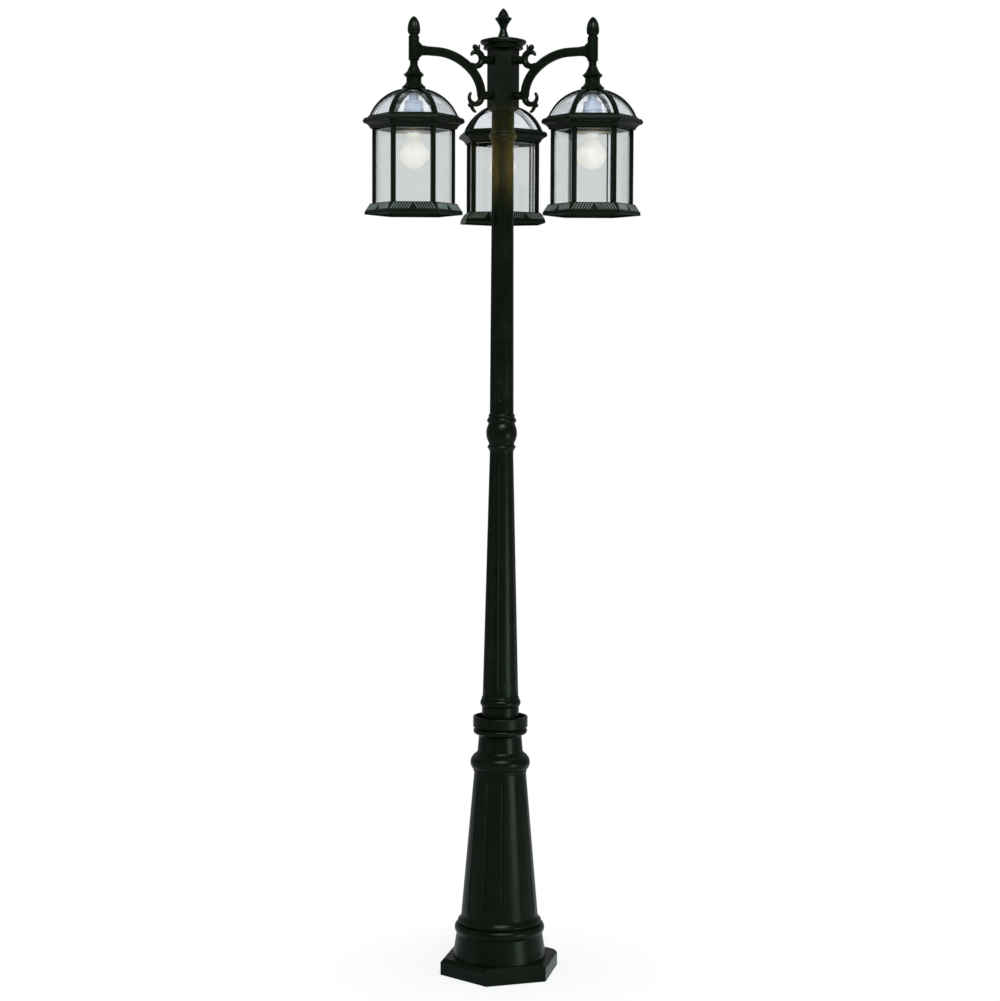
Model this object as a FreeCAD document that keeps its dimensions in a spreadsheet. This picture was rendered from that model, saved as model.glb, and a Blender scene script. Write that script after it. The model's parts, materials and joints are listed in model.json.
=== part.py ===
import FreeCAD
import Part
import math
import os

import Sketcher
from FreeCAD import Placement, Rotation, Vector

# Triple head lamp post, built as an assembly of its separate pieces.
#
# Millimetres, +Z up. The origin is the centre of the anchor plate's underside, on the ground and on the
# post's axis. The viewer stands on the -Y side. Each piece of the post has its own frame at the seat it
# stands on; a lantern's frame is at the middle of its open foot, with flats at 0, 60, 120 ... degrees.

SIZES = {
    # running gaps and thread gaps
    "body_gap": 0.3,
    "thread_gap": 0.1,
    "bearing_gap": 0.05,
    "glass_gap": 0.3,
    # plinth: a hexagon with a bevelled top edge
    "plinth_corner_radius": 139.0,
    "plinth_height": 37.0,
    "plinth_bevel": 8.0,
    "plinth_hollow_radius": 105.0,
    "plinth_hollow_height": 26.0,
    "plinth_turn": 13.5,
    "base_turn": 4.5,
    # flared foot, its ring and the fluted cone above
    "casting_wall": 7.0,
    "foot_low_radius": 105.0,
    "foot_top_radius": 96.75,
    "foot_top_height": 88.0,
    "foot_ring_radius": 101.5,
    "foot_ring_crown": 4.5,
    "foot_ring_width": 20.0,
    "foot_bead_radius": 94.0,
    "foot_bead_crown": 3.0,
    "foot_bead_width": 9.0,
    "moulding_step": 2.0,
    "cone_low_radius": 86.5,
    "cone_foot_rise": 9.0,
    "cone_top_radius": 58.25,
    "cone_top_drop": 93.0,
    "cone_flute_count": 12,
    "cone_flute_width": 6.4,
    "cone_flute_depth": 2.0,
    "cone_flute_inset": 20.0,
    # ring, neck and open cup at the top of the base
    "base_ring_radius": 67.0,
    "base_ring_crown": 4.0,
    "base_ring_width": 25.0,
    "base_ring_shoulder": 9.0,
    "base_neck_low_radius": 51.0,
    "base_neck_top_radius": 48.0,
    "base_neck_length": 34.0,
    "cup_bead_radius": 60.5,
    "cup_bead_crown": 3.5,
    "cup_bead_width": 12.0,
    "cup_radius": 61.25,
    "cup_wall": 5.25,
    "cup_floor_height": 548.0,
    "cup_rim_height": 33.5,
    # anchor plate and the foot's set screws
    "plate_radius": 90.0,
    "plate_thickness": 8.0,
    "plate_rim_height": 60.0,
    "plate_rim_wall": 6.0,
    "anchor_circle_radius": 70.0,
    "anchor_hole_radius": 6.0,
    "anchor_count": 3,
    "conduit_radius": 22.0,
    "set_screw_count": 3,
    "set_screw_radius": 4.0,
    "set_screw_height": 51.0,
    "set_screw_turn": -35.5,
    "set_screw_sink": 1.0,
    "set_screw_socket_radius": 2.2,
    "set_screw_socket_depth": 3.0,
    # lower shaft
    "lower_shaft_length": 624.0,
    "lower_spigot_radius": 36.0,
    "lower_spigot_length": 48.0,
    "lower_spigot_wall": 5.0,
    "lower_foot_radius": 41.5,
    "lower_foot_flange": 2.5,
    "lower_foot_flange_height": 8.0,
    "lower_ring_radius": 45.3,
    "lower_ring_crown": 2.3,
    "lower_ring_height": 64.0,
    "lower_ring_width": 14.0,
    "lower_bead_radius": 42.2,
    "lower_bead_width": 6.0,
    "shaft_bead_crown": 1.0,
    "lower_shaft_low_radius": 39.9,
    "lower_shaft_foot_rise": 7.0,
    "lower_shaft_top_radius": 26.3,
    "lower_shaft_wall": 4.9,
    "lower_shaft_turn": 25.0,
    "shaft_flute_count": 6,
    "lower_flute_width": 7.6,
    "lower_flute_depth": 1.7,
    "lower_flute_inset": 14.0,
    "lower_flute_top_inset": 22.0,
    # knuckle between the shafts
    "joint_spigot_length": 44.0,
    "joint_spigot_wall": 5.0,
    "knuckle_neck_length": 5.0,
    "knuckle_collar_radius": 32.0,
    "knuckle_collar_height": 14.0,
    "knuckle_throat_radius": 28.3,
    "knuckle_throat_height": 22.0,
    "knuckle_ball_radius": 34.3,
    "knuckle_ball_crown": 4.9,
    "knuckle_ball_width": 40.0,
    "knuckle_ring_radius": 32.5,
    "knuckle_ring_crown": 2.0,
    "knuckle_ring_width": 10.0,
    "knuckle_bead_radius": 29.5,
    "knuckle_bead_width": 6.0,
    # upper shaft
    "upper_shaft_length": 591.0,
    "upper_shaft_low_radius": 26.6,
    "upper_shaft_top_radius": 23.8,
    "upper_shaft_bore": 18.5,
    "upper_shaft_turn": 25.0,
    "upper_flute_width": 9.6,
    "upper_flute_depth": 1.8,
    "upper_flute_inset": 26.0,
    "upper_flute_top_inset": 20.0,
    # grooved neck collar under the hub
    "neck_length": 68.0,
    "neck_spigot_length": 40.0,
    "neck_bore": 14.5,
    "neck_radius": 24.9,
    "neck_foot_radius": 24.6,
    "neck_bead_radius": 26.2,
    "neck_bead_level": 2.5,
    "neck_bead_width": 5.5,
    "neck_bead_crown": 0.8,
    "neck_ring_radius": 31.0,
    "neck_ring_crown": 2.8,
    "neck_ring_level": 9.6,
    "neck_ring_width": 10.4,
    "neck_flank": 5.5,
    "neck_step": 1.2,
    "neck_thread_radius": 20.0,
    # hexagonal hub
    "hub_corner_radius": 35.3,
    "hub_length": 135.0,
    "hub_foot_corner_radius": 26.5,
    "hub_foot_height": 8.0,
    "hub_foot_step": 1.2,
    "hub_wall": 5.1,
    "hub_floor": 12.0,
    "lug_length": 8.0,
    "lug_width": 14.0,
    "lug_height": 6.0,
    "crossbar_width": 12.0,
    "crossbar_thickness": 4.0,
    "crossbar_height": 121.0,
    "rod_radius": 4.0,
    "rod_drop": 10.0,
    "rod_rise": 48.0,
    "rod_nut_across": 13.0,
    "rod_nut_height": 5.0,
    # hub cap and top finial
    "cap_radius": 50.0,
    "cap_under_ring_radius": 44.0,
    "cap_under_ring_height": 6.0,
    "cap_edge_height": 13.6,
    "cap_edge_width": 6.0,
    "cap_height": 27.0,
    "cap_crown": 0.9,
    "cap_cove": 1.4,
    "cap_hollow_radius": 24.0,
    "cap_hollow_height": 14.0,
    "finial_height": 63.0,
    "finial_base_radius": 12.0,
    "finial_waist_radius": 7.2,
    "finial_waist_height": 18.0,
    "finial_flange_radius": 18.9,
    "finial_flange_height": 41.0,
    "finial_bud_radius": 12.0,
    "finial_bud_crown": 3.4,
    # arms
    "arm_reach": 222.0,
    "arm_level": 119.5,
    "arm_bend_radius": 125.0,
    "arm_bend_reach": 165.0,
    "arm_bend_turn": 45.0,
    "arm_drop_radius": 75.0,
    "arm_half_height": 9.5,
    "arm_half_width": 8.0,
    "arm_chamfer": 4.6,
    "arm_flare_width": 1.28,
    "arm_flare_height": 1.8,
    "arm_flare_start": 1.15,
    "arm_flare_run": 20.5,
    "arm_flare_bend": 7.0,
    "arm_front_turn": 210.0,
    "arm_right_turn": 330.0,
    "arm_back_turn": 90.0,
    "arm_bore_radius": 3.5,
    "wire_bend_radius": 8.0,
    "boss_bend_radius": 10.0,
    "boss_radius": 9.0,
    "boss_reach": 53.0,
    "lower_boss_reach": 52.0,
    "lower_boss_level": 33.0,
    "upper_boss_level": 110.0,
    "tenon_radius": 6.0,
    "tenon_reach": 20.6,
    "lock_nut_across": 18.0,
    "lock_nut_height": 4.0,
    "arm_screw_radius": 4.0,
    "arm_screw_length": 17.0,
    "arm_screw_across": 13.0,
    "arm_screw_head": 5.0,
    # sleeve at the arm's end, which holds the lantern and the acorn finial
    "sleeve_radius": 11.5,
    "sleeve_low": 22.2,
    "sleeve_high": 29.5,
    "sleeve_floor": 3.7,
    "sleeve_bore": 8.5,
    "sleeve_groove": 0.7,
    "sleeve_groove_drop": 11.5,
    "acorn_height": 42.0,
    "acorn_radius": 13.75,
    "acorn_widest": 13.0,
    "acorn_ogive_radius": 37.45,
    "acorn_low_radius": 11.0,
    "acorn_neck_radius": 9.25,
    "acorn_neck_height": 3.0,
    "acorn_spigot_length": 16.0,
    "acorn_under_radius": 16.1,
    # leaf scrolls: centres in the arm's plane, from the post's axis and from the hub's foot
    "upper_scroll_reach": 69.5,
    "upper_scroll_level": 112.5,
    "upper_scroll_radius": 15.0,
    "lower_scroll_reach": 72.0,
    "lower_scroll_level": 28.0,
    "lower_scroll_radius": 13.2,
    "upper_scroll_bud_radius": 6.2,
    "lower_scroll_bud_radius": 5.0,
    "scroll_thickness": 15.0,
    # lead wires and their connectors
    "lead_radius": 2.3,
    "lead_low": 4.0,
    "connector_length": 13.5,
    "connector_low_radius": 4.6,
    "connector_tip_radius": 3.4,
    "connector_depth": 6.0,
    # lantern skirt, cage and side glass
    "skirt_corner_radius": 106.0,
    "skirt_lip": 6.0,
    "skirt_height": 24.0,
    "skirt_top_corner_radius": 94.0,
    "skirt_wall": 3.0,
    "cage_opening_corner_radius": 76.0,
    "mullion_corner_radius": 90.5,
    "mullion_width": 9.0,
    "mullion_chamfer": 1.6,
    "cage_height": 183.6,
    "frame_lip": 2.6,
    "frame_rise": 8.4,
    "pane_corner_radius": 83.3,
    "pane_thickness": 3.0,
    "pane_edge": 2.0,
    "pane_bevel": 1.0,
    "pane_bevel_width": 8.0,
    "cage_screw_radius": 2.0,
    "cage_screw_head_radius": 3.5,
    "cage_screw_head": 2.0,
    "cage_screw_bite": 5.0,
    "knob_radius": 2.6,
    "knob_length": 3.0,
    "knob_crown": 0.8,
    "knob_bite": 4.0,
    "knob_shank_radius": 1.2,
    "knob_rise": 7.0,
    "knob_turn": 270.0,
    # cornice and ribbed dome
    "cornice_height": 28.4,
    "cornice_low_corner_radius": 93.5,
    "cornice_hollow_corner_radius": 86.0,
    "cornice_cove": 2.2,
    "cornice_cove_corner_radius": 107.0,
    "cornice_cove_height": 12.0,
    "cornice_tip_corner_radius": 110.0,
    "cornice_tip_height": 15.0,
    "cornice_tip_width": 2.4,
    "cornice_ledge_corner_radius": 105.5,
    "cornice_ledge_drop": 5.0,
    "cornice_top_corner_radius": 97.0,
    "glass_seat_depth": 5.0,
    "glass_seat_corner_radius": 93.0,
    "rib_arc_radius": 93.8,
    "rib_arc_offset": 8.0,
    "rib_arc_drop": 35.0,
    "rib_width": 10.5,
    "rib_thickness": 4.4,
    "rib_foot_angle": 20.0,
    "rib_top_angle": 85.7,
    "crown_radius": 25.0,
    "crown_height": 60.0,
    "crown_thickness": 4.0,
    "crown_collar_radius": 16.5,
    "crown_collar_height": 5.0,
    "dome_glass_thickness": 2.5,
    "dome_glass_gap": 0.2,
    "dome_glass_top_angle": 79.0,
    "dome_glass_foot_angle": 20.6,
    "dome_glass_edge": 2.0,
    # stepped bell over the dome
    "bell_height": 58.0,
    "bell_radius": 25.0,
    "bell_neck_radius": 8.5,
    "bell_neck_length": 10.0,
    "bell_cone_radius": 14.5,
    "bell_cone_height": 35.0,
    "bell_ring_radius": 22.5,
    "bell_ring_height": 27.0,
    "bell_waist_radius": 16.2,
    "bell_waist_height": 12.0,
    "bell_waist_top": 21.0,
    "bell_wall": 6.0,
    # stem, nuts, lamp holder and disc
    "stem_radius": 5.0,
    "stem_bore": 3.0,
    "stem_nut_across": 14.0,
    "stem_nut_height": 4.7,
    "stem_top_rise": 1.0,
    "holder_nut_across": 18.2,
    "holder_nut_height": 6.0,
    "holder_height": 80.0,
    "holder_radius": 21.0,
    "holder_neck_radius": 19.5,
    "holder_neck_height": 52.0,
    "holder_shoulder_height": 64.0,
    "holder_stem_radius": 10.0,
    "holder_stem_height": 12.0,
    "holder_socket_depth": 32.0,
    "holder_thread_depth": 13.0,
    "holder_wire_radius": 3.6,
    "stem_engagement": 11.0,
    "disc_radius": 37.0,
    "disc_thickness": 1.5,
    "disc_collar_height": 8.5,
    "disc_rise": 0.6,
    # bulb
    "bulb_radius": 30.0,
    "bulb_wall": 1.2,
    "bulb_length": 76.0,
    "bulb_neck_radius": 13.2,
    "bulb_neck_length": 10.0,
    "bulb_shoulder_angle": 35.0,
    "bulb_base_radius": 13.3,
    "bulb_base_thread": 20.0,
    "bulb_base_length": 26.0,
    "bulb_base_tip_radius": 4.0,
    "bulb_seat_drop": 2.0,
    # how each lantern stands turned on its stem
    "left_lantern_turn": -28.7,
    "right_lantern_turn": 31.3,
    "back_lantern_turn": 8.0,
}
SHEET_NAME = "Sizes"
HALF = 0.5
HALF_SIXTH_TURN = 30.0
FULL_TURN = 360.0
ROUND_TIP = 0.47  # radius of the ball on a stroke's end, as a share of the stroke's thickness there

# Strokes of the leaf scrolls. Centres are measured from the scroll's own centre; they and the radii are
# shares of the scroll's radius. Thicknesses, at start, middle and end, are shares of the scroll's thickness.
SCROLL_STROKES = {
    "upper_scroll": {
        "curl": {
            "centre": (0, 0), "radii": (1.21, 0.84), "angles": (-45, -325), "thicknesses": (0.6, 1.0, 0.45),
        },
        "leaf": {
            "centre": (-2.63, 0.57), "radii": (1.87, 2.4), "angles": (-10, 33),
            "thicknesses": (0.53, 0.47, 0.27),
        },
    },
    "lower_scroll": {
        "curl": {
            "centre": (0, 0), "radii": (1.32, 0.94), "angles": (158, 396), "thicknesses": (1.13, 0.73, 0.44),
        },
        "leaf": {
            "centre": (-0.68, -1.4), "radii": (1.25, 1.14), "angles": (30, -60),
            "thicknesses": (0.6, 0.57, 0.4),
        },
    },
}
BUD_CENTRES = {"upper_scroll": (0.1, 1.57), "lower_scroll": (0.86, -1.36)}

doc = FreeCAD.newDocument("lamp_post")


class Size:
    """A length or angle together with the sheet formula that gives it."""

    def __init__(self, value, formula):
        self.value = value
        self.formula = formula

    def __add__(self, other):
        other = as_size(other)
        return Size(self.value + other.value, f"({self.formula} + {other.formula})")

    def __sub__(self, other):
        other = as_size(other)
        return Size(self.value - other.value, f"({self.formula} - {other.formula})")

    def __mul__(self, other):
        other = as_size(other)
        return Size(self.value * other.value, f"({self.formula} * {other.formula})")

    def __truediv__(self, other):
        other = as_size(other)
        return Size(self.value / other.value, f"({self.formula} / {other.formula})")

    def __neg__(self):
        return Size(-self.value, f"(0 - {self.formula})")

    __radd__ = __add__
    __rmul__ = __mul__

    def __rsub__(self, other):
        return as_size(other) - self


def as_size(number):
    """A plain number as a Size, so that both kinds can be mixed."""
    if isinstance(number, Size):
        return number
    return Size(float(number), repr(float(number)))


def cosine(angle):
    angle = as_size(angle)
    return Size(math.cos(math.radians(angle.value)), f"cos({angle.formula})")


def sine(angle):
    angle = as_size(angle)
    return Size(math.sin(math.radians(angle.value)), f"sin({angle.formula})")


def root(square):
    square = as_size(square)
    return Size(math.sqrt(square.value), f"sqrt({square.formula})")


def make_sheet():
    """Write each named size into the sheet, one row each."""
    sheet = doc.addObject("Spreadsheet::Sheet", SHEET_NAME)
    for row, (name, value) in enumerate(SIZES.items(), start=1):
        sheet.set(f"A{row}", name)
        sheet.set(f"B{row}", repr(value))
        sheet.setAlias(f"B{row}", name)
    doc.recompute()
    return sheet


sheet = make_sheet()


def size(name):
    return Size(float(sheet.get(name)), f"{SHEET_NAME}.{name}")


FLAT = cosine(HALF_SIXTH_TURN)  # a hexagon's flat radius as a share of its corner radius
THIRD_SLOPE = sine(HALF_SIXTH_TURN) / FLAT  # half a hexagon's side as a share of its flat radius


def bind(item, path, value):
    """Bind one property of an object to its formula."""
    item.setExpression(path, as_size(value).formula)


def place(item, x=0, y=0, z=0, turn=0):
    """Place an object by formulas: a turn about the vertical, then a shift."""
    axis_turn = Rotation(Vector(0, 0, 1), as_size(turn).value)
    item.Placement = Placement(Vector(as_size(x).value, as_size(y).value, as_size(z).value), axis_turn)
    for path, value in (("Base.x", x), ("Base.y", y), ("Base.z", z), ("Rotation.Angle", turn)):
        if isinstance(value, Size):
            bind(item, f"Placement.{path}", value)


def new_body(label):
    body = doc.addObject("PartDesign::Body", label)
    body.Label = label
    body.AllowCompound = True
    return body


def origin_item(body, role):
    return [item for item in body.Origin.OriginFeatures if item.Role == role][0]


def new_sketch(body, name, role="XZ_Plane", turn=0, offset=0):
    """A sketch on one of the body's own planes, turned about the vertical or shifted along its normal."""
    sketch = body.newObject("Sketcher::SketchObject", name)
    sketch.AttachmentSupport = [(origin_item(body, role), "")]
    sketch.MapMode = "FlatFace"
    turn = as_size(turn)
    offset = as_size(offset)
    upright = Vector(0, 0, 1) if role == "XY_Plane" else Vector(0, 1, 0)
    sketch.AttachmentOffset = Placement(Vector(0, 0, offset.value), Rotation(upright, turn.value))
    bind(sketch, "AttachmentOffset.Base.z", offset)
    if turn.value:
        bind(sketch, "AttachmentOffset.Rotation.Angle", turn)
    return sketch


def bead(x, y, rise):
    """A stretch that swells to the right of its direction by this much."""
    return (x, y, as_size(rise), 1)


def cove(x, y, rise):
    """A stretch that hollows to the left of its direction by this much."""
    return (x, y, as_size(rise), -1)


def bend(x, y, radius, side):
    """A stretch of an arc of known radius; side 1 turns left, -1 turns right."""
    return (x, y, as_size(radius), 2 * side)


def arc_radius(start, entry):
    """Radius of the arc that ends a stretch, from its rise over the chord or as given."""
    across = as_size(entry[0]) - start[0]
    along = as_size(entry[1]) - start[1]
    chord_square = across * across + along * along
    if abs(entry[3]) == 2:
        return entry[2]
    return (chord_square * (HALF * HALF) + entry[2] * entry[2]) / (entry[2] * 2)


def arc_edge(start, end, radius, side):
    """The arc from start to end, with its ends in the order in which the sketch holds them."""
    middle = (start + end) * HALF
    chord = end - start
    reach = math.sqrt(max(radius * radius - chord.Length * chord.Length * HALF * HALF, 0))
    left = Vector(-chord.y, chord.x, 0).normalize()
    centre = middle + left * (reach * side)
    first, last = (start, end) if side > 0 else (end, start)
    first_angle = math.atan2(first.y - centre.y, first.x - centre.x)
    last_angle = math.atan2(last.y - centre.y, last.x - centre.x)
    circle = Part.Circle(centre, Vector(0, 0, 1), radius)
    return Part.ArcOfCircle(circle, first_angle, last_angle)


def draw(sketch, entries, closed=True):
    """Draw a chain of lines and arcs through the entries and bind every point and radius."""
    entries = [tuple(entry) for entry in entries]
    points = [(as_size(entry[0]), as_size(entry[1])) for entry in entries]
    count = len(entries)
    stretches = count if closed else count - 1
    edges = []
    ends = []
    radii = {}
    for index in range(stretches):
        start = points[index]
        target = entries[(index + 1) % count]
        end = points[(index + 1) % count]
        start_point = Vector(start[0].value, start[1].value, 0)
        end_point = Vector(end[0].value, end[1].value, 0)
        if len(target) == 2:
            edges.append(Part.LineSegment(start_point, end_point))
            ends.append((1, 2))
            continue
        side = 1 if target[3] > 0 else -1
        radius = arc_radius(start, target)
        edges.append(arc_edge(start_point, end_point, radius.value, side))
        ends.append((1, 2) if side > 0 else (2, 1))
        radii[index] = radius
    sketch.addGeometry(edges, False)
    rules = []
    formulas = {}
    joins = count if closed else count - 2
    for index in range(joins):
        after = (index + 1) % count
        rules.append(Sketcher.Constraint("Coincident", index, ends[index][1], after, ends[after][0]))
    for index in range(count):
        at_end = index == stretches
        edge = index - 1 if at_end else index
        corner = ends[edge][1] if at_end else ends[edge][0]
        for kind, axis, value in (("DistanceX", -2, points[index][0]), ("DistanceY", -1, points[index][1])):
            if value.formula == repr(0.0):
                rules.append(Sketcher.Constraint("PointOnObject", edge, corner, axis))
                continue
            formulas[len(rules)] = value
            rules.append(Sketcher.Constraint(kind, -1, 1, edge, corner, value.value))
    for index, radius in radii.items():
        formulas[len(rules)] = radius
        rules.append(Sketcher.Constraint("Radius", index, radius.value))
    sketch.addConstraint(rules)
    for index, value in formulas.items():
        if SHEET_NAME in value.formula:
            bind(sketch, f"Constraints[{index}]", value)
    return sketch


def draw_circle(sketch, x, y, radius):
    """Draw one circle with its centre and radius bound."""
    x, y, radius = as_size(x), as_size(y), as_size(radius)
    sketch.addGeometry([Part.Circle(Vector(x.value, y.value, 0), Vector(0, 0, 1), radius.value)], False)
    sketch.addConstraint(Sketcher.Constraint("Radius", 0, radius.value))
    bind(sketch, "Constraints[0]", radius)
    for kind, axis, value in (("DistanceX", -2, x), ("DistanceY", -1, y)):
        if value.formula == repr(0.0):
            sketch.addConstraint(Sketcher.Constraint("PointOnObject", 0, 3, axis))
            continue
        row = sketch.addConstraint(Sketcher.Constraint(kind, -1, 1, 0, 3, value.value))
        bind(sketch, f"Constraints[{row}]", value)
    return sketch


def polygon_points(corner_radius, count, first_angle=0.0):
    """Corners of a regular polygon as formulas."""
    points = []
    for index in range(count):
        angle = first_angle + index * FULL_TURN / count
        points.append((corner_radius * cosine(angle), corner_radius * sine(angle)))
    return points


def add_feature(body, kind, name, profile):
    feature = body.newObject(f"PartDesign::{kind}", name)
    feature.Profile = profile
    return feature


def turn_solid(body, name, entries, cut=False, turn=0, role="XZ_Plane", axis="V_Axis"):
    """Turn an outline about the vertical, or about its own first edge."""
    sketch = draw(new_sketch(body, f"{name}_outline", role, turn), entries)
    feature = add_feature(body, "Groove" if cut else "Revolution", name, sketch)
    feature.ReferenceAxis = (sketch, [axis])
    feature.Angle = FULL_TURN
    return feature


def pad_solid(body, name, sketch, length, cut=False, symmetric=False, back=False):
    """Push a sketch out along its normal."""
    feature = add_feature(body, "Pocket" if cut else "Pad", name, sketch)
    feature.SideType = "Symmetric" if symmetric else "One side"
    feature.Reversed = back
    bind(feature, "Length", length)
    return feature


def loft_solid(body, name, sections, cut=False):
    """Flat-sided solid through a pile of sketches."""
    feature = add_feature(body, "SubtractiveLoft" if cut else "AdditiveLoft", name, sections[0])
    feature.Sections = sections[1:]
    feature.Ruled = True
    return feature


def sweep_solid(body, name, profile, path, stretches, cut=False):
    """Carry a profile along a path sketch, with mitred corners."""
    feature = add_feature(body, "SubtractivePipe" if cut else "AdditivePipe", name, profile)
    feature.Spine = (path, [f"Edge{index + 1}" for index in range(stretches)])
    feature.Transition = "Right corner"
    return feature


def repeat_round(body, feature, count):
    """Repeat a feature at even steps about the vertical."""
    pattern = body.newObject("PartDesign::PolarPattern", f"{feature.Name}_round")
    pattern.Originals = [feature]
    pattern.Axis = (origin_item(body, "Z_Axis"), [""])
    pattern.Angle = FULL_TURN
    if isinstance(count, Size):
        bind(pattern, "Occurrences", count)
    pattern.Occurrences = int(as_size(count).value)
    body.Tip = pattern
    return pattern


def tool_along_x(body, name, inner, outer, height, radius, cut=True, turn=0):
    """A round bar or hole along the X direction at a height."""
    entries = [(inner, height), (outer, height), (outer, height + radius), (inner, height + radius)]
    return turn_solid(body, name, entries, cut=cut, turn=turn, axis="Edge1")


def flutes(body, name, low, high, width, depth, count):
    """Round-ended grooves down a tapered wall; low and high are the wall's (radius, height) there."""
    ball = (width * width * (HALF * HALF) + depth * depth) / (depth * 2)
    run = high[1] - low[1]
    lean = low[0] - high[0]
    length = root(run * run + lean * lean)
    along_x = -lean / length
    along_z = run / length
    stand_off = ball - depth
    low_x = low[0] + stand_off * along_z
    low_z = low[1] - stand_off * along_x
    high_x = high[0] + stand_off * along_z
    high_z = high[1] - stand_off * along_x
    groove = turn_solid(body, name, [
        bend(low_x - ball * along_x, low_z - ball * along_z, ball, 1),
        (high_x + ball * along_x, high_z + ball * along_z),
        bend(high_x - ball * along_z, high_z + ball * along_x, ball, 1),
        (low_x - ball * along_z, low_z + ball * along_x),
    ], cut=True, axis="Edge1")
    return repeat_round(body, groove, count)


def radius_at(low, high, height):
    """Radius of a straight taper at a height."""
    return low[0] + (high[0] - low[0]) * (height - low[1]) / (high[1] - low[1])


def placed_copy(label, patterns, x=0, y=0, z=0, turn=0):
    """A sub-part that repeats one or more pattern pieces in another place."""
    copy = doc.addObject("Part::Compound", label)
    copy.Label = label
    copy.Links = patterns
    place(copy, x, y, z, turn)
    return copy


# Levels of the seats, each from the one below it
LOWER_SEAT = size("cup_floor_height")
KNUCKLE_SEAT = LOWER_SEAT + size("lower_shaft_length")
KNUCKLE_BALL_LOW = size("knuckle_throat_height") + size("shaft_bead_crown") * 3
KNUCKLE_RING_LOW = KNUCKLE_BALL_LOW + size("knuckle_ball_width") + size("shaft_bead_crown") * 3
KNUCKLE_BEAD_LOW = KNUCKLE_RING_LOW + size("knuckle_ring_width") + size("shaft_bead_crown") * 2
KNUCKLE_NECK_LOW = KNUCKLE_BEAD_LOW + size("knuckle_bead_width") + size("shaft_bead_crown") * 3
KNUCKLE_LENGTH = KNUCKLE_NECK_LOW + size("knuckle_neck_length")
UPPER_SEAT = KNUCKLE_SEAT + KNUCKLE_LENGTH
NECK_SEAT = UPPER_SEAT + size("upper_shaft_length")
HUB_SEAT = NECK_SEAT + size("neck_length")
CAP_SEAT = HUB_SEAT + size("hub_length")
FINIAL_SEAT = CAP_SEAT + size("cap_height")
SLEEVE_TOP = HUB_SEAT + size("arm_level") + size("sleeve_high")
HUB_FACE = size("hub_corner_radius") * FLAT
HUB_INNER_FACE = HUB_FACE - size("hub_wall")
HUB_INNER_CORNER = HUB_INNER_FACE / FLAT

# Levels inside a lantern, from its open foot
CAGE_TOP = size("cage_height")
CORNICE_TOP = CAGE_TOP + size("cornice_height")
CROWN_TOP = CORNICE_TOP + size("crown_height")
CROWN_LOW = CROWN_TOP - size("crown_thickness") - size("crown_collar_height")
LANTERN_TOP = CROWN_TOP + size("bell_height")
HOLDER_TOP = CROWN_LOW - size("holder_nut_height")
HOLDER_LOW = HOLDER_TOP - size("holder_height")
SLEEVE_LOW = size("arm_level") - size("sleeve_low")
LANTERN_LEVEL = HUB_SEAT + SLEEVE_LOW - size("body_gap") - LANTERN_TOP
SOCKET_RADIUS = size("bulb_base_radius") + size("body_gap")
BULB_SEAT = HOLDER_LOW - size("bulb_seat_drop")
STEM_LOW = HOLDER_TOP - size("stem_engagement")
STEM_NUT_LOW = LANTERN_TOP + size("body_gap") * 2 + size("sleeve_floor")
STEM_HIGH = STEM_NUT_LOW + size("stem_nut_height") + size("stem_top_rise")
KNOB_LEVEL = size("skirt_height") + size("knob_rise")
KNOB_SEAT = size("mullion_corner_radius") - size("mullion_chamfer") * THIRD_SLOPE

# Each arm's direction, and how each lantern is turned on its stem
ARM_TURNS = ("arm_front_turn", "arm_right_turn", "arm_back_turn")
LANTERN_TURNS = ("left_lantern_turn", "right_lantern_turn", "back_lantern_turn")


def make_anchor_plate():
    body = new_body("anchor_plate")
    radius = size("plate_radius")
    floor = size("plate_thickness")
    rim = radius - size("plate_rim_wall")
    top = size("plate_rim_height")
    conduit = size("conduit_radius")
    turn_solid(body, "plate", [
        (conduit, 0), (radius, 0), (radius, top), (rim, top), (rim, floor), (conduit, floor),
    ])
    sketch = new_sketch(body, "anchor_hole_outline", "XZ_Plane")
    reach = size("anchor_circle_radius")
    hole = size("anchor_hole_radius")
    draw(sketch, [(reach, 0), (reach + hole, 0), (reach + hole, floor), (reach, floor)])
    groove = add_feature(body, "Groove", "anchor_hole", sketch)
    groove.ReferenceAxis = (sketch, ["Edge4"])
    groove.Angle = FULL_TURN
    repeat_round(body, groove, size("anchor_count"))
    return body


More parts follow.
